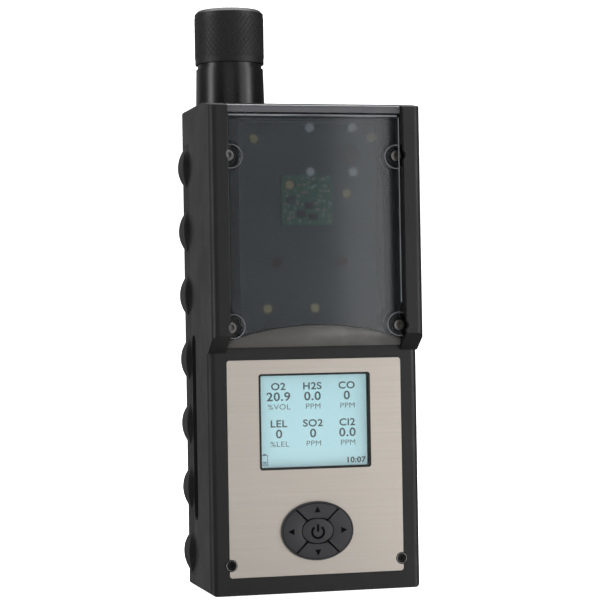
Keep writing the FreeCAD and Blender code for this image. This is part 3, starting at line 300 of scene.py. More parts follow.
def smoked_window(name, colour, haze, see_through):
    """Smoked polycarbonate: tinted, lightly hazed, with wiped patches in its gloss and duller slopes whose
    tint is painted light.
    """
    made, tree, shader, place = new_finish(name)
    marks = effect(tree, HANDLING, place, Rub_Scale=26.0, Dust_Scale=900.0)
    lines = effect(tree, BRUSHED, place, Fineness=1500.0, Length=160.0)
    lean = tree.nodes.new("ShaderNodeSeparateXYZ")
    join(tree, (tree.nodes.new("ShaderNodeNewGeometry").outputs["Normal"], lean.inputs[0]))
    # mask of the faces tilted up or down: it paints light into their tint and dulls their gloss
    painted_slope_light_and_dullness = maths(tree, "MAXIMUM", spread(tree, lean.outputs["Z"], 1.0, 0.0, -0.3, -0.08),
                  spread(tree, lean.outputs["Z"], 0.0, 1.0, 0.08, 0.3))
    flat = blend(tree, marks.outputs["Rubbed"], colour, tuple(c * 1.12 for c in colour))
    # painted light: the sloped faces get their own tint in place of the light they catch
    tone = blend(tree, painted_slope_light_and_dullness, flat, (0.36, 0.35, 0.33))
    dusty = blend(tree, maths(tree, "MULTIPLY", marks.outputs["Dust"], 0.1), tone, (0.6, 0.6, 0.6))
    wiped = maths(tree, "MULTIPLY",
                  maths(tree, "ADD", marks.outputs["Rubbed"], lines.outputs["Tone"]), 0.5)
    dullness = maths(tree, "ADD", spread(tree, wiped, haze, haze * 1.25),
                     maths(tree, "MULTIPLY", painted_slope_light_and_dullness, 0.3))
    join(tree, (dusty, shader.inputs["Base Color"]), (dullness, shader.inputs["Roughness"]))
    shader.inputs["Transmission Weight"].default_value = see_through
    shader.inputs["IOR"].default_value = 1.5
    return made


def clear_lens(name):
    """Clear acrylic over the display, with faint wipe marks in its gloss."""
    made, tree, shader, place = new_finish(name)
    marks = effect(tree, HANDLING, place, Rub_Scale=60.0)
    join(tree, (blend(tree, marks.outputs["Rubbed"], (0.97, 0.99, 0.99), (0.93, 0.96, 0.96)),
                shader.inputs["Base Color"]),
         (spread(tree, marks.outputs["Rubbed"], 0.0, 0.025), shader.inputs["Roughness"]))
    shader.inputs["Transmission Weight"].default_value = 1.0
    shader.inputs["IOR"].default_value = 1.47
    return made


def circuit_board(name, colour):
    """Solder mask with buried traces and tinned pads."""
    made, tree, shader, place = new_finish(name)
    tracks = add(tree, "ShaderNodeTexBrick", Scale=330.0, offset=0.35, squash=0.7)
    tracks.inputs["Mortar Size"].default_value = 0.06
    pads = add(tree, "ShaderNodeTexVoronoi", Scale=420.0, feature="F1")
    turned = add(tree, "ShaderNodeMapping")
    turned.inputs["Rotation"].default_value = (math.radians(90), 0, 0)
    join(tree, (place, turned.inputs["Vector"]), (turned.outputs[0], tracks.inputs["Vector"]),
         (place, pads.inputs["Vector"]))
    is_pad = spread(tree, pads.outputs["Distance"], 1.0, 0.0, 0.16, 0.2)
    masked = blend(tree, tracks.outputs["Fac"], colour, tuple(c * 1.9 + 0.01 for c in colour))
    tinned = blend(tree, is_pad, masked, (0.62, 0.6, 0.52))
    join(tree, (tinned, shader.inputs["Base Color"]),
         (spread(tree, is_pad, 0.32, 0.22), shader.inputs["Roughness"]),
         (is_pad, shader.inputs["Metallic"]))
    raise_surface(tree, shader, tracks.outputs["Fac"], 0.02 * MM)
    return made


def porous_filter(name, colour):
    """Sintered or woven filter: fine pores, with painted shade darkening the colour in each pit."""
    made, tree, shader, place = new_finish(name)
    pores = add(tree, "ShaderNodeTexVoronoi", Scale=3200.0)
    join(tree, (place, pores.inputs["Vector"]))
    # painted shade: the colour is darker where the pores sink in
    join(tree, (blend(tree, spread(tree, pores.outputs["Distance"], 0.0, 1.0, 0.1, 0.6),
                      tuple(c * 0.7 for c in colour), colour), shader.inputs["Base Color"]))
    raise_surface(tree, shader, pores.outputs["Distance"], 0.05 * MM)
    shader.inputs["Roughness"].default_value = 0.85
    return made


def make_finishes(own):
    """One finish for each material slot of the record, and the few that only a named piece wears."""
    return {
        "case_black": moulding("case black", own.case_colour, (0.44, 0.56), 2400.0, 0.009, 0.3, 0.03),
        "grip_rubber": moulding("grip rubber", own.rubber_colour, (0.6, 0.75), 3400.0, 0.03, 0.35, 0.08),
        "seal_rubber": moulding("seal rubber", (0.012, 0.012, 0.012), (0.62, 0.75), 3000.0, 0.01),
        "keypad_rubber": moulding("keypad rubber", own.keypad_colour, (0.5, 0.62), 3000.0, 0.01, 0.2, 0.03),
        "plate_steel": brushed_metal("face plate steel", own.plate_colour, (0.36, 0.5), 11000.0, 0.0035,
                                     0.75, 0.1),
        "screw_steel": brushed_metal("screw steel", (0.62, 0.61, 0.59), (0.25, 0.4), 6000.0, 0.002),
        "screw_black": moulding("black oxide", (0.012, 0.012, 0.013), (0.3, 0.42), 2200.0, 0.006, 0.5, 0.02,
                                metallic=0.6),
        "lens_clear": clear_lens("display lens"),
        "lcd_screen": backlit_screen("display panel", own.screen_colour, own.backlight),
        "window_smoke": smoked_window("smoked window", own.window_colour, own.window_haze,
                                      own.window_clear),
        "board_green": circuit_board("circuit board", (0.02, 0.12, 0.06)),
        "spacer_brass": brushed_metal("spacer brass", (0.74, 0.56, 0.28), (0.3, 0.4), 5000.0, 0.002),
        "contact_gold": brushed_metal("contact gold", (0.86, 0.63, 0.3), (0.2, 0.32), 4000.0, 0.001),
        "dome_steel": brushed_metal("dome steel", (0.66, 0.66, 0.66), (0.18, 0.28), 5000.0, 0.001),
        "pack_film": moulding("battery film", (0.02, 0.05, 0.11), (0.2, 0.34), 900.0, 0.02, 0.3, 0.02),
        "cell_can": moulding("cell sleeve", (0.05, 0.16, 0.22), (0.22, 0.34), 900.0, 0.01, 0.2, 0.0),
        "manifold_grey": moulding("manifold grey", (0.062, 0.068, 0.076), (0.5, 0.6), 2200.0, 0.003),
        "filter_white": porous_filter("filter white", (0.93, 0.93, 0.93)),
        "sensor_can": moulding("sensor cap", (0.32, 0.33, 0.34), (0.36, 0.46), 1800.0, 0.015),
        "sounder_black": moulding("sounder black", (0.02, 0.02, 0.02), (0.4, 0.5)),
        "led_red": moulding("lamp red", (0.09, 0.02, 0.018), (0.1, 0.16), 1200.0, 0.002, 0.1, 0.0, coat=0.5),
        "motor_steel": brushed_metal("motor case", (0.56, 0.56, 0.55), (0.28, 0.4), 3000.0, 0.002),
        "weight_brass": brushed_metal("weight brass", (0.7, 0.52, 0.26), (0.3, 0.42), 3000.0, 0.002),
        "plunger_white": moulding("plunger white", (0.7, 0.7, 0.68), (0.4, 0.5), 1800.0, 0.01, 0.1, 0.05),
        "tube_silicone": moulding("tube silicone", (0.55, 0.56, 0.56), (0.3, 0.42), 1500.0, 0.006),
        "ir_red": moulding("infrared window", (0.06, 0.004, 0.006), (0.06, 0.12), 800.0, 0.001, coat=0.4),
        "clip_steel": moulding("clip coating", (0.014, 0.014, 0.015), (0.34, 0.46), 2000.0, 0.008, 0.5, 0.03,
                               metallic=0.5),
        "barrel_black": moulding("barrel black", own.case_colour, (0.26, 0.34), 2200.0, 0.003, 0.3, 0.01),
        # painted light: the pump frame is the case's black plastic, coloured lighter to stand for the light
        # on its top bar
        "frame_black_painted_light": moulding("frame black painted light", (0.085, 0.085, 0.092), (0.25, 0.34), 2200.0, 0.002, 0.3, 0.01),
        "window_screw": brushed_metal("window screw", (0.34, 0.33, 0.32), (0.3, 0.42), 6000.0, 0.002),
        "spring_steel": brushed_metal("spring steel", (0.6, 0.6, 0.6), (0.2, 0.32), 6000.0, 0.001),
    }


FINISHES = {}
OWN_FINISH = {"inlet_barrel": "barrel_black", "pump_frame": "frame_black_painted_light",
              "window_screws": "window_screw"}


# ---- Mesh helpers ----------------------------------------------------------------------
def to_object(name, mesh, finish, body):
    """Finished piece: at the origin, riding on its body."""
    made = bpy.data.objects.new(name, mesh)
    bpy.context.scene.collection.objects.link(made)
    mesh.materials.clear()
    mesh.materials.append(finish)
    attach(made, body)
    return made


def from_bmesh(name, build, smooth=True):
    """Mesh made by build(bm), with its normals pointing outwards."""
    bm = bmesh.new()
    build(bm)
    bmesh.ops.remove_doubles(bm, verts=bm.verts, dist=1e-7)
    bmesh.ops.recalc_face_normals(bm, faces=bm.faces)
    mesh = bpy.data.meshes.new(name)
    bm.to_mesh(mesh)
    bm.free()
    for face in mesh.polygons:
        face.use_smooth = smooth
    return mesh


def bridge(bm, rings):
    """Faces between each closed ring of vertices and the next."""
    for near, far in zip(rings, rings[1:]):
        for step in range(len(near)):
            after = (step + 1) % len(near)
            bm.faces.new((near[step], near[after], far[after], far[step]))


def prism(bm, outline, y0, y1):
    """Solid between two copies of an XZ outline."""
    near = [bm.verts.new((x, y0, z)) for x, z in outline]
    far = [bm.verts.new((x, y1, z)) for x, z in outline]
    bm.faces.new(near)
    bm.faces.new(far)
    bridge(bm, (near, far))


def grown(name, tree, body, slot, points=None, **inputs):
    """Runs a geometry tree on an empty or point mesh and keeps the result as a plain mesh."""
    base = bpy.data.meshes.new(name + " base")
    base.from_pydata(points or [(0, 0, 0)], [], [])
    carrier = bpy.data.objects.new(name + " carrier", base)
    bpy.context.scene.collection.objects.link(carrier)
    modifier = carrier.modifiers.new("build", "NODES")
    modifier.node_group = tree
    for item in tree.interface.items_tree:
        if item.item_type == "SOCKET" and item.in_out == "INPUT" and item.name in inputs:
            modifier[item.identifier] = inputs[item.name]
    bpy.context.view_layer.update()
    depsgraph = bpy.context.evaluated_depsgraph_get()
    mesh = bpy.data.meshes.new_from_object(carrier.evaluated_get(depsgraph))
    mesh.name = name
    bpy.data.objects.remove(carrier)
    if not len(mesh.polygons):
        raise RuntimeError(name + " came out empty")
    return to_object(name, mesh, inputs["Finish"], body)


# ---- Geometry trees -----------------------------------------------------------------------
def close_tree(tree, geometry, material, end):
    """Ends every tree the same way: real geometry, with its finish on it."""
    real = tree.nodes.new("GeometryNodeRealizeInstances")
    painted = tree.nodes.new("GeometryNodeSetMaterial")
    join(tree, (geometry, real.inputs[0]), (real.outputs[0], painted.inputs["Geometry"]),
         (material, painted.inputs["Material"]), (painted.outputs[0], end.inputs[0]))


def knurl_tree():
    """Crossed helical ridges around a round cap."""
    tree, start, end = group(
        "knurl",
        (("Geometry", "Geometry"), ("Centre", "Vector"), ("Radius", "Float", 0.01),
         ("Height", "Float", 0.01), ("Ridges", "Int", 48), ("Lead", "Float", 0.12),
         ("Ridge Size", "Float", 0.0003), ("Finish", "Material")),
        (("Geometry", "Geometry"),), "GeometryNodeTree")
    both = tree.nodes.new("GeometryNodeJoinGeometry")
    for reverse in (False, True):
        spiral = tree.nodes.new("GeometryNodeCurveSpiral")
        spiral.inputs["Resolution"].default_value = 160
        spiral.inputs["Reverse"].default_value = reverse
        join(tree, (start.outputs["Lead"], spiral.inputs["Rotations"]),
             (start.outputs["Radius"], spiral.inputs["Start Radius"]),
             (start.outputs["Radius"], spiral.inputs["End Radius"]),
             (start.outputs["Height"], spiral.inputs["Height"]))
        profile = tree.nodes.new("GeometryNodeCurvePrimitiveCircle")
        profile.inputs["Resolution"].default_value = 5
        join(tree, (start.outputs["Ridge Size"], profile.inputs["Radius"]))
        ridge = tree.nodes.new("GeometryNodeCurveToMesh")
        ridge.inputs["Fill Caps"].default_value = True
        join(tree, (spiral.outputs[0], ridge.inputs["Curve"]),
             (profile.outputs[0], ridge.inputs["Profile Curve"]))
        spots = tree.nodes.new("GeometryNodePoints")
        join(tree, (start.outputs["Ridges"], spots.inputs["Count"]))
        number = tree.nodes.new("GeometryNodeInputIndex")
        share = maths(tree, "DIVIDE", number.outputs[0], start.outputs["Ridges"])
        turn = tree.nodes.new("ShaderNodeCombineXYZ")
        join(tree, (maths(tree, "MULTIPLY", share, 2 * math.pi), turn.inputs["Z"]))
        ring = tree.nodes.new("GeometryNodeInstanceOnPoints")
        join(tree, (spots.outputs[0], ring.inputs["Points"]), (ridge.outputs[0], ring.inputs["Instance"]),
             (turn.outputs[0], ring.inputs["Rotation"]), (ring.outputs[0], both.inputs[0]))
    placed = tree.nodes.new("GeometryNodeTransform")
    join(tree, (both.outputs[0], placed.inputs["Geometry"]),
         (start.outputs["Centre"], placed.inputs["Translation"]))
    close_tree(tree, placed.outputs[0], start.outputs["Finish"], end)
    return tree


def copies_tree():
    """One copy of a piece at every point, all facing the same way."""
    tree, start, end = group(
        "copies at points",
        (("Geometry", "Geometry"), ("Piece", "Object"), ("Turn", "Vector"), ("Finish", "Material")),
        (("Geometry", "Geometry"),), "GeometryNodeTree")
    piece = tree.nodes.new("GeometryNodeObjectInfo")
    copies = tree.nodes.new("GeometryNodeInstanceOnPoints")
    join(tree, (start.outputs["Piece"], piece.inputs[0]),
         (start.outputs["Geometry"], copies.inputs["Points"]),
         (piece.outputs["Geometry"], copies.inputs["Instance"]),
         (start.outputs["Turn"], copies.inputs["Rotation"]))
    close_tree(tree, copies.outputs[0], start.outputs["Finish"], end)
    return tree


def row_tree():
    """Straight row of equal pieces at a fixed pitch."""
    tree, start, end = group(
        "row of pieces",
        (("Geometry", "Geometry"), ("Piece", "Object"), ("First", "Vector"), ("Step", "Vector"),
         ("Count", "Int", 6), ("Finish", "Material")),
        (("Geometry", "Geometry"),), "GeometryNodeTree")
    line = tree.nodes.new("GeometryNodeMeshLine")
    piece = tree.nodes.new("GeometryNodeObjectInfo")
    copies = tree.nodes.new("GeometryNodeInstanceOnPoints")
    join(tree, (start.outputs["Count"], line.inputs["Count"]),
         (start.outputs["First"], line.inputs["Start Location"]),
         (start.outputs["Step"], line.inputs["Offset"]),
         (start.outputs["Piece"], piece.inputs[0]), (line.outputs[0], copies.inputs["Points"]),
         (piece.outputs["Geometry"], copies.inputs["Instance"]))
    close_tree(tree, copies.outputs[0], start.outputs["Finish"], end)
    return tree


KNURL = knurl_tree()
COPIES = copies_tree()
ROW = row_tree()


def pattern_piece(name, mesh):
    """Hidden original that a tree copies."""
    return bpy.data.objects.new(name, mesh)


# ---- Sizes and colours a user may change ------------------------------------------------------
class DetectorFinish(bpy.types.PropertyGroup):
    """Colours and surface qualities"""

    case_colour: FloatVectorProperty(name="Case", description="Moulded case and rails", subtype="COLOR",
                                     default=(0.0065, 0.0065, 0.0067), min=0, max=1)
    rubber_colour: FloatVectorProperty(name="Grips", description="Soft grips on both sides", subtype="COLOR",
                                       default=(0.0095, 0.0095, 0.009), min=0, max=1)
    keypad_colour: FloatVectorProperty(name="Keypad", description="Rubber keys", subtype="COLOR",
                                       default=(0.026, 0.026, 0.029), min=0, max=1)
    plate_colour: FloatVectorProperty(name="Face plate", description="Brushed plate", subtype="COLOR",
                                      default=(0.64, 0.585, 0.525), min=0, max=1)
    screen_colour: FloatVectorProperty(name="Screen", description="Backlit panel", subtype="COLOR",
                                       default=(0.37, 0.575, 0.62), min=0, max=1)
    backlight: FloatProperty(name="Backlight", description="Light given off by the panel", default=0.5,
                             min=0, max=4)
    window_colour: FloatVectorProperty(name="Window", description="Smoked window", subtype="COLOR",
                                       default=(0.4, 0.44, 0.47), min=0, max=1)
    window_haze: FloatProperty(name="Window haze", description="Roughness of the window", default=0.2,
                               min=0, max=1, subtype="FACTOR")
    window_clear: FloatProperty(name="Window clarity", description="Share that passes through",
                                default=0.965, min=0, max=1, subtype="FACTOR")


class DetectorDetail(bpy.types.PropertyGroup):
    """Sizes of printed and moulded details"""

    knurl_ridges: IntProperty(name="Knurl ridges", description="Ridges each way round the cap", default=44,
                              min=8, max=120)
    knurl_size: FloatProperty(name="Knurl size", description="Half width of a ridge", default=0.22 * MM,
                              unit="LENGTH")
    mark_proud: FloatProperty(name="Print height", description="Printed marks above their surface",
                              default=0.03 * MM, unit="LENGTH")
    value_height: FloatProperty(name="Value height", description="Height of the readings",
                                default=2.35 * MM, unit="LENGTH")
    name_height: FloatProperty(name="Name height", description="Height of the gas names",
                               default=1.95 * MM, unit="LENGTH")
    unit_height: FloatProperty(name="Unit height", description="Height of the units", default=1.5 * MM,
                               unit="LENGTH")
    key_spread: FloatProperty(name="Key spread", description="Arrow keys grown outwards over the rim",
                              default=0.2 * MM, unit="LENGTH")
    key_seam: FloatProperty(name="Key seam", description="Gap round the middle key", default=0.07 * MM,
                            unit="LENGTH")
    key_slot: FloatProperty(name="Key slot", description="Width of the slots between the arrow keys",
                            default=0.42 * MM, unit="LENGTH")
    key_rounding: FloatProperty(name="Key rounding", description="Soft edge of the keys", default=0.22 * MM,
                                unit="LENGTH")
    arrow_size: FloatProperty(name="Arrow size", description="Height of the key arrows", default=1.75 * MM,
                              unit="LENGTH")
    window_screw_radius: FloatProperty(name="Window screw", description="Head radius of the window's screws",
                                       default=1.85 * MM, unit="LENGTH")
    pocket_radius: FloatProperty(name="Screw pocket", description="Radius of the window's screw pockets",
                                 default=3.3 * MM, unit="LENGTH")
    # painted highlight: width of the pale strips along the window's side edges
    window_edge: FloatProperty(name="Window edge", description="Width of the window's lit side edge",
                               default=0.3 * MM, unit="LENGTH")
    window_bevel: FloatProperty(name="Window bevel", description="Bevel along the window's top edge",
                                default=0.8 * MM, unit="LENGTH")
    foot_height: FloatProperty(name="Window foot", description="Height of the window's sloping foot",
                               default=16 * MM, unit="LENGTH")
    # painted highlight: colour of the pale skin laid on the window's sloping foot
    foot_highlight_colour: FloatVectorProperty(name="Foot highlight", description="Skin on the window's foot", subtype="COLOR",
                                      default=(0.066, 0.064, 0.06), min=0, max=1)
    well_rim: FloatProperty(name="Well rim", description="Thickness of the rim round a plate screw",
                            default=0.1 * MM, unit="LENGTH")
    board_seed: IntProperty(name="Board seed", description="Places the small parts on the boards", default=7)
    rib_size: FloatProperty(name="Rib size", description="Width of the clip's thumb ribs", default=0.5 * MM,
                            unit="LENGTH")
    show_readings: BoolProperty(name="Readings", description="Show the readings on the screen", default=True)


class DetectorStage(bpy.types.PropertyGroup):
    """Camera and lights"""

    turn: FloatProperty(name="Turn", description="Camera's turn to the object's left", subtype="ANGLE",
                        default=math.radians(14.5))
    rise: FloatProperty(name="Rise", description="Camera's height angle", subtype="ANGLE",
                        default=math.radians(-0.73))
    roll: FloatProperty(name="Roll", description="Camera's roll", subtype="ANGLE", default=0.0172)
    distance: FloatProperty(name="Distance", description="Camera to target", default=0.5725, unit="LENGTH")
    lens: FloatProperty(name="Lens", description="Focal length in millimetres", default=122.0)
    target: FloatVectorProperty(name="Target", description="Point the camera looks at", unit="LENGTH",
                                default=(-0.0038, -0.018, 0.0823))
    key_power: FloatProperty(name="Side lights", description="Power shared out to the side lights in watts",
                             default=6.0)
    top_power: FloatProperty(name="Top light", description="Power of the top light in watts", default=9.0)
    front_power: FloatProperty(name="Front light", description="Power of the front light in watts",
                               default=1.1)
    mirror_power: FloatProperty(name="Mirror light", description="Power of the light that the plate mirrors",
                                default=2.2)
    rim_power: FloatProperty(name="Rim light", description="Power of the light behind the left side",
                             default=0.45)
    low_power: FloatProperty(name="Low light", description="Power of the light that the floor throws up",
                             default=0.025)
    backdrop_glow: FloatProperty(name="Backdrop", description="Brightness of the backdrop", default=1.1)
    room_grey: FloatProperty(name="Room", description="Brightness of the room around", default=0.07)


# ---- Operators --------------------------------------------------------------------------------
class DETECTOR_OT_finish_parts(bpy.types.Operator):
    """Give every CAD piece the finish of its material slot"""

    bl_idname = "detector.finish_parts"
    bl_label = "Finish the CAD pieces"

    def execute(self, context):
        FINISHES.update(make_finishes(context.scene.detector_finish))
        slots = {entry["node"]: entry["material_slot"] for entry in frame["record"]["subparts"]}
        for node, obj in frame["nodes"].items():
            if node not in slots:
                raise RuntimeError(node + " has no material slot")
            obj.data.materials.clear()
            obj.data.materials.append(FINISHES[OWN_FINISH.get(node, slots[node])])
        return {"FINISHED"}


class DETECTOR_OT_knurl_cap(bpy.types.Operator):
    """Knurl the inlet cap"""

    bl_idname = "detector.knurl_cap"
    bl_label = "Knurl the inlet cap"

    def execute(self, context):
        own = context.scene.detector_detail
        low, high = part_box("inlet_cap")
        middle = (low + high) / 2
        radius = (high.x - low.x) / 2
        margin = 1.7 * MM  # plain band above and below the knurl
        sunk = 0.12 * MM  # ridges' middle lines below the cap's surface
        grown("cap_knurl", KNURL, "inlet_cap_body", "case_black",
              Centre=(middle.x, middle.y, low.z + margin), Radius=radius - sunk,
              Height=high.z - low.z - 2.2 * margin, Ridges=own.knurl_ridges, Lead=0.14,
              **{"Ridge Size": own.knurl_size, "Finish": FINISHES["case_black"]})
        return {"FINISHED"}


KEY_CROWN = 0.25 * MM  # swell of the middle key's front
ARC_STEPS = 24  # along each arc of an arrow key
RIM_STEPS = 72  # round the middle key
ARROW_SPOTS = {"up": (0, 6.0), "down": (0, -6.0), "left": (-7.6, 0), "right": (7.6, 0)}  # X, Z in mm


def to_ellipse(at, half):
    """Factor that takes a point, seen from the centre, onto the ellipse with these half axes."""
    return 1 / math.sqrt((at.x / half.x) ** 2 + (at.y / half.y) ** 2)


def soft_edge(face, back, rounding):
    """Rings from a key's back to its front, as (step inwards, depth), with a rounded front edge."""
    return ((0.0, back), (0.0, face + rounding), (rounding * 0.3, face + rounding * 0.3),
            (rounding, face))


def crowned(bm, outline, face, back, crown, rounding):
    """Cap over an XZ outline: a soft edge of width rounding and a front that swells by crown."""
    middle = Vector((sum(x for x, _ in outline), sum(z for _, z in outline))) / len(outline)
    rings = []
    for inward, depth in soft_edge(face, back, rounding):
        ring = []
        for x, z in outline:
            towards = middle - Vector((x, z))
            at = Vector((x, z)) + towards.normalized() * inward
            ring.append(bm.verts.new((at.x, depth, at.y)))
        rings.append(ring)
    for share in (0.35, 0.7):
        ring = []
        for x, z in outline:
            at = Vector((x, z)).lerp(middle, share)
            ring.append(bm.verts.new((at.x, face - crown * math.sin(share * math.pi / 2), at.y)))
        rings.append(ring)
    bridge(bm, rings)
    tip = bm.verts.new((middle.x, face - crown, middle.y))
    for step in range(len(outline)):
        bm.faces.new((rings[-1][step], rings[-1][(step + 1) % len(outline)], tip))
    bm.faces.new(rings[0])


class DETECTOR_OT_mould_keys(bpy.types.Operator):
    """Mould the five keys, and print the arrows and the power sign"""

    bl_idname = "detector.mould_keys"
    bl_label = "Mould the keys"

    def execute(self, context):
        own = context.scene.detector_detail
        rubber = FINISHES["keypad_rubber"]
        ink = moulding("key print", (0.002, 0.002, 0.003), (0.7, 0.8), 2000.0, 0.002, 0.0, 0.0,
                       specular=0.05)
        low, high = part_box("key_enter")
        face = low.y
        centre = Vector(((low.x + high.x) / 2, (low.z + high.z) / 2))
        enter = Vector(((high.x - low.x) / 2, (high.z - low.z) / 2))
        ring_low, ring_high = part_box("key_left")[0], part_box("key_right")[1]
        reach = Vector(((ring_high.x - ring_low.x) / 2,
                        (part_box("key_up")[1].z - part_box("key_down")[0].z) / 2))
        outer = reach + Vector((own.key_spread, own.key_spread))
        inner = enter + Vector((own.key_seam, own.key_seam))
        for side, turn in (("right", 0), ("up", 1), ("left", 2), ("down", 3)):
            arcs = self.quarter(centre, outer, inner, turn, own.key_slot / 2)
            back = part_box("key_" + side)[1].y
            mesh = from_bmesh("key " + side,
                              lambda bm: self.ring_key(bm, arcs, face, back, own.key_rounding))
            piece = to_object("soft_key_" + side, mesh, rubber, "key_" + side + "_body")
            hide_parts("key_" + side)
        turns = [2 * math.pi * step / RIM_STEPS for step in range(RIM_STEPS)]
        rim = [tuple(centre + Vector((enter.x * math.cos(turn), enter.y * math.sin(turn))))
               for turn in turns]
        mesh = from_bmesh("key enter",
                          lambda bm: crowned(bm, rim, face, high.y, KEY_CROWN, own.key_rounding))
        piece = to_object("soft_key_enter", mesh, rubber, "key_enter_body")
        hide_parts("key_enter")
        self.print_arrows(own, centre, face, ink)
        self.print_power_sign(own, centre, face - KEY_CROWN, ink)
        return {"FINISHED"}

    def quarter(self, centre, outer, inner, turn, slot):
        """Outer and inner arcs of an arrow key, kept half a slot clear of its neighbours."""
        axis = turn * math.pi / 2
        low, high = axis - math.pi / 4, axis + math.pi / 4
        lean = Vector((math.cos(axis), math.sin(axis)))
        arcs = []
        for half in (outer, inner):
            arc = []
            for step in range(ARC_STEPS + 1):
                share = step / ARC_STEPS
                ray = low + (high - low) * share
                away = Vector((math.cos(ray), math.sin(ray)))
                at = away * to_ellipse(away, half)
                at += lean * slot * math.sqrt(2) * abs(2 * share - 1)
                if half is outer:
                    at *= min(1.0, to_ellipse(at, half))
                arc.append(tuple(centre + at))
            arcs.append(arc)
        return arcs[0], arcs[1][::-1]

    def ring_key(self, bm, arcs, face, back, rounding):
        """Solid between the two arcs, with soft front edges."""
        outer, inner = arcs
        whole = outer + inner
        count = len(whole)
        rings = []
        for inward, depth in soft_edge(face, back, rounding):
            ring = []
            for number, (x, z) in enumerate(whole):
                before = Vector(whole[number - 1])
                after = Vector(whole[(number + 1) % count])
                along = (after - before).normalized()
                normal = Vector((-along.y, along.x))
                at = Vector((x, z)) + normal * inward
                ring.append(bm.verts.new((at.x, depth, at.y)))
            rings.append(ring)
        bridge(bm, rings)
        for ring in (rings[0], rings[-1]):
            for step in range(len(outer) - 1):
                bm.faces.new((ring[step], ring[step + 1], ring[count - 2 - step], ring[count - 1 - step]))

    def print_arrows(self, own, centre, face, ink):
        """One arrow on each outer key, pointing away from the middle."""
        size, sunk = own.arrow_size, 0.1 * MM
        for side, (x, z) in ARROW_SPOTS.items():
            at = centre + Vector((x, z)) * MM
            ahead = Vector((x, z)).normalized()
            beside = Vector((-ahead.y, ahead.x))
            outline = [at + ahead * size * 0.55, at - ahead * size * 0.45 + beside * size * 0.5,
                       at - ahead * size * 0.45 - beside * size * 0.5]
            mesh = from_bmesh("arrow", lambda bm: prism(bm, [tuple(p) for p in outline],
                                                        face - own.mark_proud, face + sunk), False)
            to_object("arrow_" + side, mesh, ink, "key_" + side + "_body")

    def print_power_sign(self, own, centre, face, ink):
        """Open ring with a bar through its gap."""
        line, radius, sunk = 0.62 * MM, 1.7 * MM, 0.3 * MM
        ring_drop, bar_foot, bar_head = 0.3 * MM, 0.2 * MM, 1.9 * MM
        half_gap, steps = math.radians(38), 40
        near, far = face - own.mark_proud, face + sunk

        def sign(bm):
            outer, inner = [], []
            for step in range(steps + 1):
                turn = math.pi / 2 + half_gap + (2 * math.pi - 2 * half_gap) * step / steps
                for side, reach in ((outer, radius + line / 2), (inner, radius - line / 2)):
                    side.append((centre.x + reach * math.cos(turn),
                                 centre.y - ring_drop + reach * math.sin(turn)))
            for step in range(steps):
                prism(bm, [outer[step], outer[step + 1], inner[step + 1], inner[step]], near, far)
            left, right = centre.x - line / 2, centre.x + line / 2
            foot, head = centre.y - bar_foot, centre.y + bar_head
            prism(bm, [(left, foot), (right, foot), (right, head), (left, head)], near, far)

        to_object("power_sign", from_bmesh("power sign", sign, False), ink, "key_enter_body")


READINGS = (("O2", "20.9", "%VOL"), ("H2S", "0.0", "PPM"), ("CO", "0", "PPM"),
            ("LEL", "0", "%LEL"), ("SO2", "0", "PPM"), ("Cl2", "0.0", "PPM"))
COLUMNS, ROWS = (0.19, 0.495, 0.805), (0.0, 0.388)  # shares of the screen's width and height
CAPITAL_HEIGHT = 0.70  # of the font at size 1
WIDENED = 1.13  # the screen's letters are wider than the font's


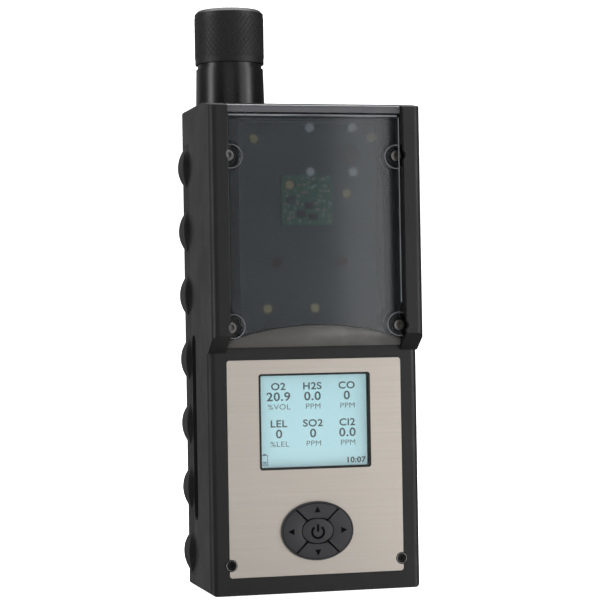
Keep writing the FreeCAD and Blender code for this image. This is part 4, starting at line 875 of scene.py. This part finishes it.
class DETECTOR_OT_write_readings(bpy.types.Operator):
    """Draw the readings, the battery sign and the clock on the screen"""

    bl_idname = "detector.write_readings"
    bl_label = "Draw the readings"

    def execute(self, context):
        own = context.scene.detector_detail
        if not own.show_readings:
            return {"FINISHED"}
        low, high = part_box("display_gasket")
        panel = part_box("lcd_module")[0].y
        wide, tall = high.x - low.x, high.z - low.z
        dark = moulding("screen ink", (0.012, 0.05, 0.062), (0.5, 0.6), 2000.0, 0.001, 0.1, 0.0)
        pale = moulding("screen ink pale", (0.05, 0.11, 0.13), (0.5, 0.6), 2000.0, 0.001, 0.1, 0.0)
        black = moulding("screen ink black", (0.01, 0.015, 0.02), (0.5, 0.6), 2000.0, 0.001, 0.1, 0.0)
        words = []
        for number, (name, value, unit) in enumerate(READINGS):
            u, v = COLUMNS[number % 3], ROWS[number // 3]
            words += [(name, u, v + 0.136, own.name_height, dark, 0.022),
                      (value, u, v + 0.242, own.value_height, dark, 0.018),
                      (unit, u + 0.005, v + 0.349, own.unit_height, pale, 0.0)]
        words.append(("10:07", 0.885, 0.922, 1.5 * MM, black, 0.032))
        for number, (text, u, v, height, ink, weight) in enumerate(words):
            at = Vector((low.x + u * wide, panel - own.mark_proud, high.z - v * tall))
            mesh = self.lettering(context, text, at, height, weight)
            to_object(f"reading_{number}", mesh, ink, "case")

        def battery(bm):
            x, z = low.x + 0.058 * wide, high.z - 0.895 * tall
            half, line = 0.95 * MM, 0.16 * MM
            near, far = panel - own.mark_proud, panel - own.mark_proud * 0.3
            foot, head = z - 1.6 * MM, z + 1.3 * MM
            for left, right, low_edge, high_edge in (
                    (-half, line - half, foot, head),
                    (half - line, half, foot, head),
                    (-half, half, foot, foot + line),
                    (-half, half, head - line, head),
                    (-half * 0.5, half * 0.5, head, head + 0.35 * MM),
                    (-half * 0.6, half * 0.6, foot + 0.35 * MM, foot + 0.6 * MM),
                    (-half * 0.6, half * 0.6, foot + 0.8 * MM, foot + 1.05 * MM)):
                prism(bm, [(x + left, low_edge), (x + right, low_edge), (x + right, high_edge),
                           (x + left, high_edge)], near, far)

        blue = moulding("battery sign ink", (0.05, 0.13, 0.3), (0.5, 0.6), 2000.0, 0.001, 0.1, 0.0)
        to_object("battery_sign", from_bmesh("battery sign", battery, False), blue, "case")
        return {"FINISHED"}

    def lettering(self, context, text, at, height, weight):
        """Mesh of a word that faces the user, its middle at a point; weight thickens its strokes."""
        curve = bpy.data.curves.new("reading", "FONT")
        curve.body = text
        curve.align_x = "CENTER"
        curve.align_y = "CENTER"
        curve.offset = weight
        curve.space_character = 1.08
        written = bpy.data.objects.new("reading", curve)
        bpy.context.scene.collection.objects.link(written)
        bpy.context.view_layer.update()
        mesh = bpy.data.meshes.new_from_object(written.evaluated_get(context.evaluated_depsgraph_get()))
        bpy.data.objects.remove(written)
        xs = [vert.co.x for vert in mesh.vertices]
        ys = [vert.co.y for vert in mesh.vertices]
        scale = height / CAPITAL_HEIGHT
        mesh.transform(Matrix.Translation(at) @ Matrix.Rotation(math.radians(90), 4, "X")
                       @ Matrix.Diagonal((scale * WIDENED, scale, scale, 1))
                       @ Matrix.Translation((-(min(xs) + max(xs)) / 2, -(max(ys) + min(ys)) / 2, 0)))
        return mesh


def arc_ridge(radius, thick, low, high, steps):
    """Thin round ridge along an arc in the XZ plane, about the origin."""
    corners = 6

    def build(bm):
        rings = []
        for step in range(steps + 1):
            turn = low + (high - low) * step / steps
            out = Vector((math.cos(turn), 0, math.sin(turn)))
            ring = []
            for corner in range(corners):
                lean = corner * 2 * math.pi / corners
                at = out * (radius + thick * math.cos(lean)) + Vector((0, thick * math.sin(lean), 0))
                ring.append(bm.verts.new(at))
            rings.append(ring)
        bridge(bm, rings)
        bm.faces.new(rings[0])
        bm.faces.new(rings[-1])
    return from_bmesh("arc ridge", build)


def block(bm, low, high, bevel=0.0):
    """Box between two corners, its edges broken."""
    made = bmesh.ops.create_cube(bm, size=1.0)
    for vert in made["verts"]:
        vert.co = Vector([low[n] + (vert.co[n] + 0.5) * (high[n] - low[n]) for n in range(3)])
    if bevel:
        edges = {edge for vert in made["verts"] for edge in vert.link_edges}
        bmesh.ops.bevel(bm, geom=list(edges), offset=bevel, segments=2, affect="EDGES", profile=0.6)


class DETECTOR_OT_edge_window(bpy.types.Operator):
    """Pale rims of the window, painted highlights: screw pockets and side edges"""

    bl_idname = "detector.edge_window"
    bl_label = "Edge the window"

    def execute(self, context):
        own = context.scene.detector_detail
        low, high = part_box("pump_window")
        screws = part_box("window_screws")
        # painted highlights: pale glossy colour on the pocket ridges and the edge strips
        rim = moulding("window rim highlight", (0.2, 0.21, 0.22), (0.12, 0.2), 1200.0, 0.001, 0.2, 0.0)
        inset = own.window_screw_radius
        heights = (screws[0].z + inset, screws[1].z - inset)
        thick = 0.09 * MM
        for name, side, turn in (("left", screws[0].x + inset, 0.0),
                                 ("right", screws[1].x - inset, math.pi)):
            inside = math.acos(max(-1.0, (abs(side) - high.x) / own.pocket_radius))
            ridge = pattern_piece("pocket rim " + name,
                                  arc_ridge(own.pocket_radius, thick, -inside, inside, 40))
            grown("pocket_rims_" + name, COPIES, "case", "window_smoke",
                  points=[(side, low.y + 0.02 * MM, z) for z in heights], Piece=ridge, Turn=(0, turn, 0),
                  Finish=rim)
            bpy.data.objects.remove(ridge)
        edge, bevel = own.window_edge, own.window_bevel
        above_foot, below_top, short = 12 * MM, 1 * MM, 0.6 * MM

        # painted highlights: pale strips along the side edges and under the top bevel
        def strips(bm):
            for x in (low.x + edge, high.x - edge):
                block(bm, (x - edge / 2, low.y - 0.03 * MM, low.z + above_foot),
                      (x + edge / 2, low.y + 0.1 * MM, high.z - below_top), edge * 0.2)
            block(bm, (low.x + short, low.y + 0.25 * MM, high.z - bevel * 0.9),
                  (high.x - short, low.y + 0.6 * MM, high.z - bevel * 0.35), edge * 0.2)

        to_object("window_edges", from_bmesh("window edge highlights", strips, False), rim, "case")
        self.paint_foot_highlight(low, own)
        return {"FINISHED"}

    def paint_foot_highlight(self, low, own):
        """Pale skin on the window's sloping foot: a painted highlight."""
        # painted highlight: the skin's pale colour stands for the light on the sloping foot
        foot_highlight = moulding("window frost", own.foot_highlight_colour, (0.4, 0.52), 900.0, 0.001, 0.6, 0.02)
        clear, thick = 0.02 * MM, 0.03 * MM

        def skin(bm):
            bm.from_mesh(frame["nodes"]["pump_window"].data)
            bmesh.ops.remove_doubles(bm, verts=bm.verts, dist=1e-6)
            bm.normal_update()
            other = [face for face in bm.faces
                     if face.calc_center_median().z > low.z + own.foot_height
                     or face.normal.y > -0.1 or abs(face.normal.z) < 0.1]
            bmesh.ops.delete(bm, geom=other, context="FACES")
            for vert in bm.verts:
                vert.co += vert.normal * clear
            bmesh.ops.solidify(bm, geom=bm.faces[:], thickness=thick)

        to_object("window_foot", from_bmesh("window foot", skin), foot_highlight, "case")


class DETECTOR_OT_rim_screws(bpy.types.Operator):
    """Worn bright rims round the wells of the face plate's screws"""

    bl_idname = "detector.rim_screws"
    bl_label = "Rim the plate screws"

    def execute(self, context):
        own = context.scene.detector_detail
        low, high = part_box("plate_screws")
        radius = (high.z - low.z) / 2
        worn = brushed_metal("worn rim", (0.5, 0.49, 0.47), (0.3, 0.42), 5000.0, 0.001)
        ridge = pattern_piece("well rim",
                              arc_ridge(radius + own.well_rim, own.well_rim, 0.0, 2 * math.pi, 36))
        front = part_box("face_plate")[0].y
        grown("plate_screw_rims", COPIES, "case", "plate_steel",
              points=[(x, front + own.well_rim * 0.3, (low.z + high.z) / 2)
                      for x in (low.x + radius, high.x - radius)], Piece=ridge, Finish=worn)
        bpy.data.objects.remove(ridge)
        return {"FINISHED"}


SCREW_BY_BOARD = (-5.4 * MM, 115.0 * MM)  # X and Z of the manifold screw at the board
SCREW_CLEAR = 2.4 * MM  # no small part's middle is nearer to it
TRIES = 12  # for each small part, before the board counts as full


class DETECTOR_OT_populate_boards(bpy.types.Operator):
    """Solder the small parts onto the module board"""

    bl_idname = "detector.populate_boards"
    bl_label = "Populate the board"

    def execute(self, context):
        own = context.scene.detector_detail
        generator = random.Random(own.board_seed)
        chip = moulding("chip epoxy", (0.02, 0.02, 0.022), (0.35, 0.5), 2200.0, 0.006, 0.1, 0.05)
        ceramic = moulding("ceramic chip", (0.42, 0.33, 0.22), (0.35, 0.5), 2200.0, 0.004, 0.1, 0.0)
        solder = brushed_metal("solder", (0.75, 0.75, 0.73), (0.2, 0.3), 4000.0, 0.001)
        low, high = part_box("module_board")
        # name, finish, size in millimetres and count; the board may have no room for all of them
        kinds = (("chips", chip, (2.6, 0.45, 1.9), 4),
                 ("capacitors", ceramic, (0.95, 0.4, 0.55), 22),
                 ("pads", solder, (0.5, 0.12, 0.5), 26))
        taken = []
        for name, finish, size, count in kinds:
            half = Vector(size) * MM / 2
            mesh = from_bmesh(name, lambda bm: block(bm, -half, half, half.y * 0.3), False)
            piece = pattern_piece(name, mesh)
            spots = []
            for _ in range(count * TRIES):
                at = Vector((generator.uniform(low.x + half.x * 1.6, high.x - half.x * 1.6),
                             low.y - half.y,
                             generator.uniform(low.z + half.z * 1.6, high.z - half.z * 1.6)))
                screw = Vector((SCREW_BY_BOARD[0], at.y, SCREW_BY_BOARD[1]))
                near_screw = (at - screw).length < SCREW_CLEAR
                crowded = any((at - other).length < reach + half.x * 1.3 for other, reach in taken)
                if not near_screw and not crowded:
                    spots.append(at)
                    taken.append((at, half.x * 1.1))
                if len(spots) == count:
                    break
            grown("module_" + name, COPIES, "case", "board_green", points=spots, Piece=piece, Finish=finish)
            bpy.data.objects.remove(piece)
        return {"FINISHED"}


class DETECTOR_OT_rib_grips(bpy.types.Operator):
    """Fine ribs on the belt clip's thumb pad"""

    bl_idname = "detector.rib_grips"
    bl_label = "Rib the clip"

    def execute(self, context):
        own = context.scene.detector_detail
        low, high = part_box("clip_arm")
        side_margin, first_below, pitch, ribs = 0.9 * MM, 9.0 * MM, 1.25 * MM, 6
        half = (high.x - low.x) / 2 - side_margin
        size = own.rib_size

        def rib(bm):
            block(bm, (-half, -size / 2, -size / 2), (half, size / 2, size / 2), size * 0.3)

        piece = pattern_piece("rib", from_bmesh("rib", rib, False))
        grown("clip_ribs", ROW, "clip_arm_body", "clip_steel", Piece=piece,
              First=(0.0, high.y - size * 0.1, high.z - first_below), Step=(0.0, 0.0, pitch),
              Count=ribs, Finish=FINISHES["clip_steel"])
        bpy.data.objects.remove(piece)
        return {"FINISHED"}


class DETECTOR_OT_set_stage(bpy.types.Operator):
    """Floor, backdrop, lights and camera"""

    bl_idname = "detector.set_stage"
    bl_label = "Set the stage"

    def execute(self, context):
        own = context.scene.detector_stage
        scene = context.scene
        scene.view_settings.view_transform = "Standard"
        self.make_sweep(own)
        world = bpy.data.worlds.new("room")
        world.use_nodes = True
        world.node_tree.nodes["Background"].inputs["Color"].default_value = (*(own.room_grey,) * 3, 1)
        scene.world = world
        target = Vector(own.target)
        facing = math.radians(-90) - own.turn
        # name, turn from the camera's side in degrees, height, distance, size, power
        for name, turn, height, distance, size, power in (
                ("left light", -68, 0.06, 0.9, (0.24, 1.1), own.key_power * 0.7),
                ("right light", 70, 0.06, 0.9, (0.2, 1.1), own.key_power * 0.5),
                ("mirror light", 52, 0.0, 0.9, (0.5, 1.0), own.mirror_power),
                ("rim light", -140, 0.0, 0.9, (0.5, 0.9), own.rim_power),
                ("low light", 6, -0.055, 0.3, (0.5, 0.05), own.low_power),
                ("front light", 0, 0.5, 1.4, (0.9, 0.5), own.front_power),
                ("top light", 180, 0.8, 0.25, (0.8, 0.5), own.top_power)):
            self.light(name, target, facing + math.radians(turn), height, distance, size, power)
        self.place_camera(scene, own, target)
        return {"FINISHED"}

    def place_camera(self, scene, own, target):
        """Camera at its distance from the target, turned, raised and rolled."""
        ahead = Vector((math.sin(own.turn) * math.cos(own.rise),
                        math.cos(own.turn) * math.cos(own.rise), -math.sin(own.rise)))
        side = ahead.cross(Vector((0, 0, 1))).normalized()
        up = side.cross(ahead)
        rolled_up = up * math.cos(own.roll) + side * math.sin(own.roll)
        rolled_side = side * math.cos(own.roll) - up * math.sin(own.roll)
        place = Matrix((rolled_side, rolled_up, -ahead)).transposed().to_4x4()
        place.translation = target - ahead * own.distance
        camera = bpy.data.objects.new("camera", bpy.data.cameras.new("camera"))
        camera.data.lens = own.lens
        camera.data.sensor_width = 36.0
        camera.data.clip_start = 0.01
        camera.matrix_world = place
        scene.collection.objects.link(camera)
        scene.camera = camera

    def light(self, name, target, azimuth, height, distance, size, power):
        """Soft area light that faces the target; azimuth is measured from +X."""
        lamp = bpy.data.lights.new(name, "AREA")
        lamp.shape = "RECTANGLE"
        lamp.size, lamp.size_y = size
        lamp.energy = power
        made = bpy.data.objects.new(name, lamp)
        at = target + Vector((math.cos(azimuth) * distance, math.sin(azimuth) * distance, height))
        made.location = at
        made.rotation_euler = (at - target).to_track_quat("Z", "Y").to_euler()
        bpy.context.scene.collection.objects.link(made)

    def make_sweep(self, own):
        """Floor that turns up into a backdrop, kept out of the dark surfaces' reflections."""
        paper, tree, shader, place = new_finish("studio paper")
        fibre = add(tree, "ShaderNodeTexNoise", Scale=120.0, Detail=3.0)
        join(tree, (place, fibre.inputs["Vector"]))
        white = blend(tree, fibre.outputs["Fac"], (0.9, 0.9, 0.9), (0.94, 0.94, 0.94))
        join(tree, (white, shader.inputs["Base Color"]), (white, shader.inputs["Emission Color"]))
        shader.inputs["Emission Strength"].default_value = own.backdrop_glow
        shader.inputs["Roughness"].default_value = 0.9
        half_width, wall, top, bend, steps = 3.0, 1.8, 3.0, 0.6, 12
        line = [(-half_width, 0.0), (0.0, 0.0)]
        line += [(wall - bend + bend * math.sin(t * math.pi / 2 / steps),
                  bend - bend * math.cos(t * math.pi / 2 / steps)) for t in range(steps + 1)]
        line.append((wall, top))

        def build(bm):
            edges = [[bm.verts.new((x, y, z)) for y, z in line] for x in (-half_width, half_width)]
            for step in range(len(line) - 1):
                bm.faces.new((edges[0][step], edges[1][step], edges[1][step + 1], edges[0][step + 1]))

        mesh = from_bmesh("sweep", build)
        mesh.materials.append(paper)
        sweep = bpy.data.objects.new("sweep", mesh)
        bpy.context.scene.collection.objects.link(sweep)
        sweep.visible_glossy = False


STEPS = (DETECTOR_OT_finish_parts, DETECTOR_OT_knurl_cap, DETECTOR_OT_mould_keys,
         DETECTOR_OT_write_readings, DETECTOR_OT_edge_window, DETECTOR_OT_rim_screws,
         DETECTOR_OT_populate_boards, DETECTOR_OT_rib_grips, DETECTOR_OT_set_stage)
SETTINGS = (("detector_finish", DetectorFinish), ("detector_detail", DetectorDetail),
            ("detector_stage", DetectorStage))


class DETECTOR_PT_panel(bpy.types.Panel):
    """Sizes, colours and steps of the gas detector"""

    bl_idname = "DETECTOR_PT_panel"
    bl_label = "Gas detector"
    bl_space_type = "VIEW_3D"
    bl_region_type = "UI"
    bl_category = "Gas detector"

    def draw(self, context):
        for name, kind in SETTINGS:
            box = self.layout.box()
            for prop in kind.__annotations__:
                box.prop(getattr(context.scene, name), prop)
        for step in STEPS:
            self.layout.operator(step.bl_idname)


CLASSES = (*(kind for _, kind in SETTINGS), *STEPS, DETECTOR_PT_panel)


def register():
    for kind in CLASSES:
        bpy.utils.register_class(kind)
    for name, kind in SETTINGS:
        setattr(bpy.types.Scene, name, PointerProperty(type=kind))


def unregister():
    for name, _ in SETTINGS:
        delattr(bpy.types.Scene, name)
    for kind in reversed(CLASSES):
        bpy.utils.unregister_class(kind)


def main():
    register()
    for step in STEPS:
        getattr(bpy.ops.detector, step.bl_idname.split(".")[1])()


if __name__ == "__main__":
    main()
